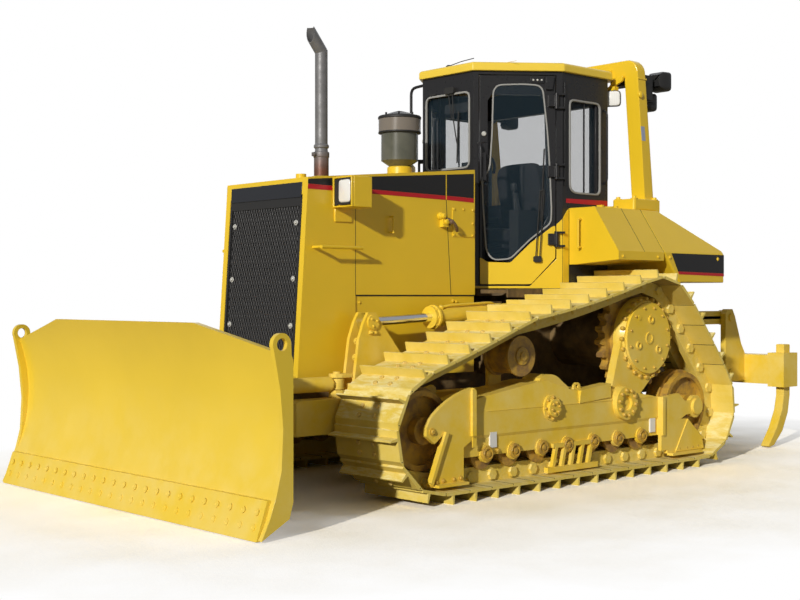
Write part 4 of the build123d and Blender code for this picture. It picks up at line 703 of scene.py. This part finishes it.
def lamp_pieces():
    case = Maker()
    rim = rect(0.431, 0.616, 1.785, 1.976)
    face = rounded(rect(0.474, 0.606, 1.806, 1.965), 0.035)
    case.prism("yz", rim, 1.322, 1.47)
    case.band("yz", offset(rim, -0.005), 0.005, 0.005, 1.47, 1.49)
    case.box(1.335, 1.475, 0.425, 0.44, 1.7, 1.79)
    case.mirror().done("headlamp_case", "yellow", "machine_yellow", 0.004, replaces=["headlamp"])
    gasket = Maker()
    gasket.band("yz", face, 0.008, 0.006, 1.468, 1.486)
    gasket.lathe((1.478, 0.606, 1.8), AHEAD, [(0.009, -0.01), (0.009, 0.006)], 10)
    gasket.box(1.466, 1.48, 0.44, 0.47, 1.8, 1.96)
    gasket.mirror().done("headlamp_gasket", "rubber", "grille_black", 0.0015)
    glass = Maker()
    glass.pillow(face, ((1.462, 0.006), (1.479, 0.007), (1.485, 0.012), (1.488, 0.02)))
    glass.mirror().done("headlamp_glass", "lamp", "tinted_glass")


def stack_pieces():
    x = 1.23
    clamp = Maker()
    clamp.lathe((x, 0, 2.15), UP, [(0.05, 0), (0.053, 0.004), (0.053, 0.034), (0.05, 0.038)], 32)
    clamp.lathe((x, 0, 2.21), UP, [(0.043, 0), (0.05, 0.006), (0.051, 0.02), (0.043, 0.03)], 32)
    clamp.box(x + 0.045, x + 0.075, -0.01, 0.01, 2.156, 2.182)
    clamp.bolt((x + 0.064, 0.01, 2.169), LEFT, 0.007, 0.008)
    clamp.done("stack_clamp", "stack", "stack_steel", 0.001)
    foot = Maker()
    foot.lathe((x, 0, 1.985), UP, [(0.078, 0), (0.078, 0.035), (0.062, 0.042)], 32)
    foot.done("stack_collar", "yellow", "machine_yellow", 0.002)
    collar = Maker()
    collar.lathe((0.53, 0, 2.06), UP, [(0.1, 0), (0.1, 0.02), (0.088, 0.026), (0.086, 0.072),
            (0.078, 0.078)], 36)
    collar.lathe((1.4, 0, 1.985), UP, [(0.052, 0), (0.052, 0.016), (0.04, 0.02)], 24)
    collar.done("hood_collars", "yellow", "machine_yellow", 0.002)
    lid = Maker()
    lid.lathe((0.53, 0, 2.505), UP, [(0.06, 0), (0.052, 0.012), (0.02, 0.02)], 28)
    lid.bolt_ring((0.53, 0, 2.499), UP, 0.105, 6, 0.008, 0.014)
    lid.lathe((0.53, 0, 2.368), UP, [(0.1475, 0), (0.1495, 0.003), (0.1495, 0.009), (0.1475, 0.012)], 40)
    lid.lathe((0.53, 0, 2.466), UP, [(0.1475, 0), (0.151, 0.004), (0.151, 0.016), (0.144, 0.024)], 40)
    lid.done("precleaner_bands", "flat_black", "grille_black", 0.001)
    fitting = Maker()
    fitting.lathe((0.413, 0.0, 2.08), UP, [(0.022, 0), (0.022, 0.03), (0.026, 0.036), (0.024, 0.062),
            (0.01, 0.078)], 18)
    fitting.done("service_indicator", "label")


# ---- cab -------------------------------------------------------------------------
DOOR_PANE = [(0.139, 2.69), (0.172, 2.731), (0.355, 2.738), (0.462, 2.732), (0.494, 2.7), (0.526, 2.4),
        (0.542, 2.156), (0.555, 1.849), (0.551, 1.755), (0.404, 1.641), (0.259, 1.5), (0.137, 1.493),
        (0.09, 1.553), (0.066, 1.886), (0.06, 2.052), (0.115, 2.146), (0.131, 2.392)]
SIDE_PANE = [(-0.52, 2.012), (-0.52, 2.638), (-0.855, 2.638), (-0.855, 1.98), (-0.565, 1.98)]
FRONT_PANE = rect(-0.218, 0.218, 2.155, 2.686)


def door_pieces():
    """Pane, rubber, lower skin, lock and wiper of both doors."""
    pane_line = rounded(DOOR_PANE, 0.035)
    skin_line = rounded([(0.044, 1.321), (0.044, 1.512), (0.1, 1.478), (0.262, 1.474), (0.404, 1.612),
            (0.556, 1.727), (0.584, 1.738), (0.584, 1.507), (0.41, 1.321)], 0.012)
    parts = {name: Maker() for name in ("pane", "rubber", "skin", "lock", "wiper", "dots")}
    parts["pane"].prism("door", pane_line, 0.001, 0.006)
    parts["rubber"].band("door", pane_line, 0.005, 0.006, 0.001, 0.0085)
    parts["skin"].prism("door", skin_line, -0.001, 0.0035)
    lock = parts["lock"]
    lock.band("door", rounded(rect(0.05, 0.098, 2.02, 2.33), 0.015), 0.006, 0.002, -0.001, 0.007)
    lock.prism("door", rect(0.405, 0.505, 2.748, 2.79), -0.001, 0.01)
    lock.prism("door", [(0.515, 2.7), (0.56, 2.7), (0.575, 2.79), (0.515, 2.79)], -0.001, 0.024)
    wiper = parts["wiper"]
    wiper.prism("door", rounded(rect(0.425, 0.48, 1.478, 1.52), 0.01), 0.002, 0.03)
    for low, high in (((0.438, 1.5), (0.47, 1.975)), ((0.466, 1.505), (0.5, 1.985))):
        wiper.tube([place("door", *low, 0.028), place("door", *high, 0.022)], 0.004, 8)
    wiper.tube([place("door", 0.478, 1.77, 0.016), place("door", 0.502, 2.28, 0.016)], 0.0055, 8)
    wiper.tube([place("door", 0.466, 1.978, 0.022), place("door", 0.504, 1.99, 0.018)], 0.0055, 8)
    dots = parts["dots"]
    for u in (0.425, 0.455, 0.485):
        dots.lathe(place("door", u, 2.769, 0.008), DOOR_OUT, [(0.007, 0), (0.007, 0.003),
                (0.005, 0.0045)], 12)
    dots.lathe(place("door", 0.072, 2.385, -0.001), DOOR_OUT,
            [(0.017, 0), (0.017, 0.01), (0.013, 0.014)], 18)
    looks = {"pane": ("glass", "tinted_glass", 0.0), "rubber": ("trim_grey", "grille_black", 0.0015),
            "skin": ("yellow", "machine_yellow", 0.0012), "lock": ("cab_black", "cab_black", 0.002),
            "wiper": ("rubber", "grille_black", 0.001), "dots": ("zinc", "rod_chrome", 0.0)}
    for name, (material, slot, rounding) in looks.items():
        for side in ("left", "right"):
            maker = Maker(parts[name].mesh.copy())
            if side == "right":
                maker.flip(maker.mesh.verts)
            shown = ["door_glass_" + side] if name == "pane" else ()
            maker.done(f"door_{side}_{name}", material, slot, rounding, body="door_" + side,
                    replaces=shown)
        parts[name].mesh.free()


def cab_pieces():
    sill = Maker()
    sill.prism("door", [(0.002, 1.292), (0.002, 1.308), (0.402, 1.308), (0.592, 1.502), (0.592, 1.745),
            (0.634, 1.785), (0.634, 1.292)], -0.001, 0.003)
    sill.prism("xz", [(-0.442, 1.292), (-0.442, 1.79), (-0.48, 1.838), (-0.506, 1.862), (-0.506, 1.292)],
            0.654, 0.658)
    sill.mirror().done("cab_sill_skin", "yellow", "machine_yellow", 0.001)
    band = [(-0.48, 1.902), (-0.48, 1.932), (-0.945, 1.938), (-0.945, 1.9)]
    plates("cab_band_red", "stripe_red", [band], 0.654, 0.6575, "cab_black")
    rubber = Maker()
    rubber.band("xz", rounded(SIDE_PANE, 0.045), 0.004, 0.01, 0.648, 0.662)
    rubber.mirror()
    rubber.band("yz", rounded(FRONT_PANE, 0.045), 0.004, 0.01, 0.053, 0.067)
    rubber.done("cab_window_rubber", "trim_grey", "grille_black", 0.002)
    bars = Maker()
    bars.box(-0.7, -0.69, 0.634, 0.644, 1.985, 2.635)
    bars.box(-0.845, -0.82, 0.63, 0.646, 1.985, 2.635)
    bars.tube(rounded([(-0.905, 0.657, 2.06), (-0.905, 0.685, 2.08), (-0.905, 0.685, 2.58),
            (-0.905, 0.657, 2.6)], 0.03, False), 0.008)
    bars.prism("xz", rounded(rect(-0.47, -0.455, 2.02, 2.76), 0.005), 0.652, 0.664)
    bars.mirror()
    # grab rails at the front corners: a tall one on the right, a short one on the left
    bars.tube(rounded([(0.03, -0.29, 2.02), (0.062, -0.385, 2.06), (0.062, -0.385, 2.78),
            (0.05, -0.262, 2.79)], 0.05, False), 0.011)
    bars.tube(rounded([(0.03, 0.29, 2.02), (0.058, 0.33, 2.04), (0.058, 0.33, 2.3),
            (0.035, 0.285, 2.32)], 0.03, False), 0.009)
    bars.done("cab_rails", "cab_black", "cab_black", 0.001)

    wiper = Maker()
    wiper.tube([(0.072, 0.06, 2.7), (0.078, 0.078, 2.49), (0.076, 0.11, 2.33)], 0.0045, 8)
    wiper.tube([(0.072, 0.02, 2.7), (0.078, 0.06, 2.5)], 0.004, 8)
    wiper.tube([(0.068, 0.118, 2.56), (0.068, 0.104, 2.19)], 0.006, 8)
    wiper.prism("yz", rounded(rect(-0.01, 0.085, 2.69, 2.735), 0.012), 0.058, 0.088)
    wiper.prism("yz", rect(-0.18, -0.12, 2.7, 2.712), 0.058, 0.068)
    wiper.done("front_wiper", "rubber", "grille_black", 0.001)

    roof = Maker()
    roof.lathe((0.04, -0.01, 2.89), UP, [(0.022, 0), (0.02, 0.01), (0.01, 0.018)], 16)
    roof.tube([(0.04, -0.01, 2.9), (-0.09, -0.01, 2.95), (-0.22, -0.01, 2.99)], 0.0032, 8)
    roof.done("antenna", "rubber", "grille_black")
    seam = Maker()
    seam.box(-0.13, -0.127, 0.32, 0.5, 2.8905, 2.8935)
    for x in (-0.2, -0.55, -0.85):
        seam.bolt((x, 0.0, 2.89), UP, 0.01, 0.008)
    for x, y in ((-0.47, 0.6), (-0.9, 0.61)):
        seam.bolt((x, y, 2.89), UP, 0.01, 0.008)
    # bracket that ties the roof to the roll-over frame
    seam.prism("xz", rounded([(-0.96, 2.842), (-0.96, 2.886), (-1.02, 2.905), (-1.1, 2.93), (-1.1, 2.87),
            (-1.01, 2.85)], 0.01), 0.56, 0.59)
    seam.box(-1.0, -0.95, 0.54, 0.66, 2.836, 2.85)
    seam.bolt((-0.985, 0.57, 2.85), UP, 0.012, 0.012)
    seam.bolt((-0.985, 0.63, 2.85), UP, 0.012, 0.012)
    seam.mirror().done("roof_brackets", "yellow", "machine_yellow", 0.0015)

    inside = Maker()
    inside.tube(rounded([(-0.12, 0.0, 2.03), (-0.2, 0.0, 2.06), (-0.25, 0.0, 2.12)], 0.03, False), 0.022)
    ring = [(-0.262 - 0.055 * math.sin(2 * math.pi * i / 28), 0.15 * math.cos(2 * math.pi * i / 28),
            2.135 + 0.14 * math.sin(2 * math.pi * i / 28)) for i in range(27)]
    inside.tube(ring, 0.012, 8)
    inside.box(-0.11, -0.02, 0.06, 0.2, 2.08, 2.2)
    inside.prism("xz", rounded([(-0.06, 2.08), (-0.06, 2.17), (-0.13, 2.15), (-0.15, 2.08)], 0.01),
            -0.19, -0.03)
    for x, y in ((-0.33, 0.315), (-0.33, -0.315), (-0.4, -0.3), (-0.27, -0.315)):
        inside.tube([(x, y, 1.64), (x + 0.03, y, 2.0)], 0.01, 8)
        inside.lathe((x + 0.03, y, 1.99), UP, [(0.014, 0), (0.024, 0.02), (0.022, 0.055), (0.01, 0.065)],
                12)
    inside.prism("xz", rounded([(-0.56, 1.33), (-0.56, 1.78), (-0.25, 1.86), (-0.22, 1.8), (-0.3, 1.33)],
            0.03), -0.37, -0.27)
    inside.prism("yz", rounded(rect(-0.14, 0.1, 2.57, 2.64), 0.02), -0.06, -0.045)
    inside.tube([(-0.052, 0.0, 2.64), (-0.052, 0.0, 2.79)], 0.006, 8)
    inside.done("cab_controls", "console", "console_plastic", 0.003)


def cushion(name, center, half, lean, crown, channels):
    """Sewn cushion: a rounded block whose faces are crowned, with its channels drawn in."""
    squareness, waist, channel_width, channel_depth = 5, 0.035, 0.045, 0.012
    form = bmesh.new()
    bmesh.ops.create_cube(form, size=2.0)
    bmesh.ops.subdivide_edges(form, edges=form.edges[:], cuts=15, use_grid_fill=True)
    turn = Matrix.Rotation(math.radians(lean), 4, "Y")
    hx, hy, hz = half
    for vert in form.verts:
        u, v, w = vert.co
        # a superellipse rounds the sides, and the faces swell between the corners
        length = (abs(u) ** squareness + abs(v) ** squareness + abs(w) ** squareness) ** (1 / squareness)
        u, v, w = u / length, v / length, w / length
        middle = (1 - u * u) * (1 - v * v)
        pull = 1 - waist * ((1 - w * w) if abs(w) < 1 else 0)
        drawn = sum(math.exp(-((u - c) / channel_width) ** 2) for c in channels)
        height = w * hz * (1 + crown * middle)
        height -= math.copysign(channel_depth, w) * min(drawn, 1) * (abs(w) > 0.5)
        spot = turn @ Vector((u * hx * pull, v * hy * pull, height))
        vert.co = spot + Vector(center) + Vector((DATUM, 0, 0))
    for face in form.faces:
        face.smooth = True
    piece = new_piece(form, name, "seat")
    level = piece.modifiers.new("fine", "SUBSURF")
    level.levels = level.render_levels = 1
    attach(piece, "chassis")


def seat_pieces():
    seat = Maker()
    for outline, radius, half in (
        ([(-0.68, 1.335), (-0.36, 1.335), (-0.4, 1.56), (-0.64, 1.56)], 0.03, 0.19),
        ([(-0.725, 1.56), (-0.275, 1.585), (-0.275, 1.612), (-0.725, 1.605)], 0.01, 0.235),
        ([(-0.752, 1.64), (-0.735, 1.64), (-0.838, 2.235), (-0.848, 2.235)], 0.006, 0.215),
    ):
        seat.prism("xz", rounded(outline, radius), -half, half)
    for i in range(6):
        z = 1.4 + 0.022 * i
        seat.box(-0.69, -0.35, -0.2, 0.2, z, z + 0.01)
    for y in (-0.285, 0.255):
        seat.prism("xz", rounded([(-0.745, 1.8), (-0.48, 1.795), (-0.47, 1.835), (-0.745, 1.85)], 0.018),
                y, y + 0.03)
    seat.done("seat_frame", "console", "seat_vinyl", 0.003, replaces=["seat"])
    cushion("seat_cushion", (-0.5, 0, 1.668), (0.235, 0.24, 0.055), -4.0, 0.35, (-0.45, 0.0, 0.45))
    cushion("seat_back", (-0.745, 0, 1.985), (0.27, 0.225, 0.052), -80.0, 0.35, (-0.5, -0.1, 0.3))


# ---- rear and roll-over frame ------------------------------------------------------
def rear_pieces():
    post = Maker()
    for x in (-1.03, -1.275):
        for y in (0.69, 0.835):
            post.bolt((x, y, 1.95), UP, 0.018, 0.02)
    post.prism("yz", [(0.675, 1.95), (0.7, 1.95), (0.7, 2.08)], -1.24, -1.215)
    post.lathe((-1.12, 0.82, 2.72), LEFT, [(0.024, -0.002), (0.024, 0.012), (0.014, 0.018)], 18)
    post.prism("xz", rect(-1.196, -1.09, 2.834, 2.846), 0.819, 0.826)
    # bracket of the work lamp beside the post
    post.prism("yz", rounded([(0.56, 2.79), (0.58, 2.78), (0.7, 2.83), (0.705, 2.87), (0.66, 2.87)],
            0.008), -1.08, -1.06)
    post.box(-1.085, -1.035, 0.575, 0.65, 2.765, 2.795)
    post.mirror().done("rollover_fittings", "yellow", "machine_yellow", 0.002)
    label = Maker()
    label.prism("xz", [(-1.187, 2.385), (-1.142, 2.385), (-1.128, 2.49), (-1.173, 2.49)], 0.819, 0.8208)
    label.done("blank_label", "label_grey")

    lamp_line = rounded(rect(0.545, 0.69, 2.64, 2.762), 0.035)
    case, glass = Maker(), Maker()

    def turned(x, grow):
        """Outline of the work lamp at a depth, turned outward about the lamp's middle."""
        c, s = math.cos(math.radians(32)), math.sin(math.radians(32))
        ring = []
        for u, v in offset(lamp_line, -grow):
            ring.append((-1.045 + (x + 1.045) * c - (u - 0.6175) * s,
                    0.6175 + (x + 1.045) * s + (u - 0.6175) * c, v))
        return ring

    case.skin([turned(*step) for step in ((-1.105, 0.04), (-1.075, 0.01), (-1.01, 0.0), (-1.0, 0.003))])
    glass.skin([turned(*step) for step in ((-1.004, 0.008), (-0.994, 0.009), (-0.99, 0.018))])
    for x0, y0, y1, z0, z1 in ((-1.47, 0.69, 0.85, 2.78, 2.925), (-1.4, 0.64, 0.77, 2.63, 2.765)):
        line, z = rounded(rect(y0, y1, z0, z1), 0.03), (z0 + z1) / 2
        case.pillow(line, ((x0, 0.004), (x0 + 0.01, 0.0), (x0 + 0.08, 0.004), (x0 + 0.115, 0.03)))
        glass.pillow(line, ((x0 + 0.004, 0.012), (x0 - 0.004, 0.013), (x0 - 0.008, 0.026)))
        case.tube([(x0 + 0.11, (y0 + y1) / 2, z), (x0 + 0.16, 0.745, z), (-1.19, 0.76, z + 0.02)], 0.014)
    case.box(-1.36, -1.18, 0.735, 0.775, 2.69, 2.72)
    case.box(-1.3, -1.19, 0.7, 0.8, 2.7, 2.88)
    case.mirror().done("work_lamps", "lamp_black", "grille_black", 0.002)
    glass.mirror().done("work_lamp_glass", "lamp", "tinted_glass")

    band = [(-1.12, 1.546), (-1.2, 1.416), (-1.782, 1.408), (-1.782, 1.546)]
    plates("tank_band_black", "stripe_black", [band], 1.0995, 1.1015)
    band = [(-1.2, 1.415), (-1.212, 1.395), (-1.782, 1.386), (-1.782, 1.407)]
    plates("tank_band_red", "stripe_red", [band], 1.0995, 1.1018)
    top = Maker()
    for x in (-0.66, -0.86):
        top.bolt((x, 0.76, 1.865), UP, 0.014, 0.014)
    top.lathe((-0.8, 0.78, 1.864), UP, [(0.04, 0), (0.04, 0.014), (0.03, 0.02)], 24)
    top.box(-0.74, -0.715, 0.74, 0.79, 1.862, 1.892)
    top.box(-0.905, -0.88, 0.74, 0.79, 1.862, 1.892)
    for x in (-0.56, -0.96, -1.1, -1.7):
        top.bolt((x, 1.1, 1.515), LEFT, 0.01, 0.009)
    top.mirror().done("fender_fittings", "yellow", "machine_yellow", 0.0015)
    seams = Maker()
    for x in (-0.805, -1.03):
        seams.prism("yz", [(0.8885, 1.8655), (0.8905, 1.8645), (1.1008, 1.5495), (1.099, 1.5495)],
                x - 0.002, x + 0.002)
        seams.box(x - 0.002, x + 0.002, 0.662, 0.889, 1.864, 1.8656)
    seams.mirror().done("fender_seams", "rubber")


# ---- running gear ------------------------------------------------------------------
def shoe_flats(node):
    """Middle, outward direction, direction along the chain and length of each shoe's flat."""
    low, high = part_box(node.name)
    middle = (low + high) / 2
    flats = {}
    for polygon in node.data.polygons:
        points = [node.data.vertices[i].co for i in polygon.vertices]
        across = [p.y for p in points]
        if abs(polygon.normal.y) > 0.01 or max(across) - min(across) < 0.5 * (high.y - low.y):
            continue
        normal = Vector((polygon.normal.x, 0, polygon.normal.z)).normalized()
        along = Vector((normal.z, 0, -normal.x))
        places = [p.dot(along) for p in points]
        start, end = min(places), max(places)
        center = along * ((start + end) / 2) + normal * points[0].dot(normal) + Vector((0, middle.y, 0))
        if 0.09 < end - start < 0.15 and (center - middle).dot(normal) > 0:
            flats[tuple(round(c, 2) for c in center)] = (center, normal, along, end - start)
    return list(flats.values())


def track_pieces():
    for side, node in (("left", "track_left"), ("right", "track_right")):
        bolts, gap_shade = Maker(), Maker()
        for center, normal, along, length in shoe_flats(nodes[node]):
            center = center - Vector((DATUM, 0, 0))
            # dark strip at the gap to the next shoe, seen on the shoes' inner faces and ends: painted
            # shade in the gap
            gap = center + along * (length / 2 + 0.004)
            corners = [gap + along * x + normal * z for x, z in rect(-0.002, 0.002, -0.019, -0.011)]
            gap_shade.skin([[p + Vector((0, y, 0)) for p in corners] for y in (-0.2808, 0.2808)], False)
            for y in (-0.066, 0.066):
                for shift in (-0.03, 0.03):
                    bolts.bolt(center + along * shift + Vector((0, y, 0)), normal, 0.015, 0.013, False)
        bolts.done(f"track_{side}_bolts", "shoe_bolt", "shoe_steel")
        gap_shade.done(f"track_{side}_joints", "rubber", "shoe_steel")


def frame_pieces():
    outer = 1.1
    labels = [rect(0.712, 0.772, 0.292, 0.388), rect(-0.925, -0.868, 0.272, 0.37)]
    plates("blank_frame_labels", "label", labels, outer - 0.011, outer + 0.0015)

    bolts = Maker()
    bolts.bolt_ring((-0.56, outer + 0.038, 0.5), LEFT, 0.088, 10, 0.014, 0.016)
    bolts.bolt_ring((0.19, outer + 0.01, 0.508), LEFT, 0.071, 8, 0.009, 0.012)
    bolts.bolt_ring((0.19, outer + 0.036, 0.508), LEFT, 0.036, 6, 0.009, 0.012)
    bolts.bolt_ring((-0.86, 1.058, 0.94), LEFT, 0.277, 24, 0.015, 0.026)
    bolts.bolt_ring((-0.86, 1.096, 0.94), LEFT, 0.218, 12, 0.009, 0.012)
    for x, z in ((1.265, 0.128), (1.21, 0.132), (1.12, 0.132), (1.062, 0.135), (-1.262, 0.136),
            (-1.33, 0.136), (-1.17, 0.136), (-1.395, 0.14)):
        bolts.bolt((x, outer + 0.03, z), LEFT, 0.01, 0.01)
    for x in (0.7, 0.3, -0.25, -0.52):
        bolts.bolt((x, outer - 0.004, 0.27), LEFT, 0.011, 0.012)
    bolts.bolt((1.3, outer + 0.032, 0.43), LEFT, 0.016, 0.014)
    bolts.mirror().done("frame_bolts", "frame_bolt")

    ends = Maker()
    roller_z = 0.2573
    turns = [math.radians(-60 + 30 * k) for k in range(9)]
    for x in (0.8, 0.55, 0.28, 0.03, -0.24, -0.505, -0.77):
        center = (x, outer - 0.003, roller_z)
        ends.lathe(center, LEFT, [(0.047, -0.004), (0.047, 0.016), (0.034, 0.019), (0.034, 0.012),
                (0.018, 0.012), (0.018, 0.024), (0.01, 0.027)], 22)
        ends.tube([(x - 0.036 * math.cos(t), outer + 0.012, roller_z + 0.036 * math.sin(t))
                for t in turns], 0.007, 6)
    ends.lathe((0.43, 1.052, 0.85), LEFT, [(0.06, -0.002), (0.058, 0.012), (0.03, 0.016),
            (0.028, 0.024)], 24)
    ends.mirror().done("roller_ends", "roller_end", "dark_steel")

    gauge = Maker()
    gauge.prism("xz", [(0.925, 0.31), (0.96, 0.31), (0.96, 0.64), (0.925, 0.62)], outer + 0.026,
            outer + 0.034)
    gauge.box(-0.9, 0.8, outer - 0.008, outer + 0.003, 0.518, 0.524)
    gauge.mirror().done("frame_edges", "yellow_low", "machine_yellow", 0.0015)


# ---- C-frame, blade and ripper ------------------------------------------------------
def tool_pieces():
    tower = Maker()
    for y in (0.642, 0.498):
        out = (0, 1 if y > 0.57 else -1, 0)
        tower.bolt_ring((1.33, y, 1.075), out, 0.026, 3, 0.008, 0.01)
    tower.box(1.3, 1.36, 0.628, 0.64, 1.0, 1.022)
    tower.bolt((1.312, 0.64, 1.011), LEFT, 0.008, 0.008)
    tower.bolt((1.348, 0.64, 1.011), LEFT, 0.008, 0.008)
    for z in (0.86, 0.96):
        tower.bolt((1.44 - (z - 0.9) * 0.12, 0.59, z), (1, 0, 0.15), 0.013, 0.012)
    tower.lathe((-0.2, 0.634, 0.5), LEFT, [(0.08, -0.002), (0.08, 0.012), (0.06, 0.018)], 28)
    tower.bolt_ring((-0.2, 0.65, 0.5), LEFT, 0.04, 4, 0.011, 0.01)
    tower.mirror().done("c_frame_fittings", "yellow_low", "machine_yellow", 0.0012, body="c_frame")

    lift = Maker()
    base, head = Vector((0.05, 0.57, 1.13)), Vector((1.33, 0.57, 1.075))
    along = (head - base).normalized()
    end = base + along * 0.74
    lift.lathe(end - along * 0.05, along, [(0.058, 0), (0.074, 0), (0.08, 0.004), (0.08, 0.022),
            (0.07, 0.026), (0.058, 0.026)], 32, True)
    lift.bolt_ring(end - along * 0.024, along, 0.07, 8, 0.008, 0.01)
    lift.lathe(base + along * 0.12, along, [(0.058, 0), (0.0625, 0), (0.066, 0.006), (0.066, 0.022),
            (0.0625, 0.028), (0.058, 0.028)], 32, True)
    # steel oil line along the barrel, with its fittings
    side = Vector((0, 0.03, 0.058))
    lift.tube(rounded([base + along * 0.16 + side, base + along * 0.2 + side * 1.22,
            base + along * 0.6 + side * 1.22, base + along * 0.66 + side], 0.03, False), 0.009)
    lift.lathe(base + along * 0.66 + side * 0.8, side.normalized(),
            [(0.018, 0), (0.018, 0.026), (0.012, 0.03)], 12)
    lift.mirror().done("lift_barrel_fittings", "yellow_low", "machine_yellow", 0.001, body="lift_barrels")

    blade = Maker()
    for i in range(12):
        y = 0.06 + i * 0.118
        for z in (0.07, 0.145):
            x = edge_face(z)
            blade.lathe((x, y, z), (1, 0, 0.3), [(0.019, -0.004), (0.019, 0.0012), (0.011, 0.0012),
                    (0.009, -0.001)], 14)
    blade.mirror().done("edge_bolts", "edge", "edge_steel", body="blade")

    ripper = Maker()
    for x, z in ((-1.72, 0.6), (-1.72, 1.06)):
        ripper.bolt_ring((x, 0.47, z), LEFT, 0.024, 3, 0.009, 0.01)
    ripper.mirror().done("ripper_mount_bolts", "yellow_low", "frame_dark")


def edge_face(z):
    """x of the cutting edge's front face."""
    low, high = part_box("cutting_edge")
    front_low, front_high = high.x - DATUM, high.x - DATUM - 0.06
    return front_low + (front_high - front_low) * (z - low.z) / (high.z - low.z)


make_camera()
make_lights()
make_floor()
for look, radius, node_names in CAD_LOOKS:
    for node_name in node_names.split():
        dress(node_name, look, radius)
for make in (hood_pieces, lamp_pieces, stack_pieces, door_pieces, cab_pieces, seat_pieces, rear_pieces,
        track_pieces, frame_pieces, tool_pieces):
    make()
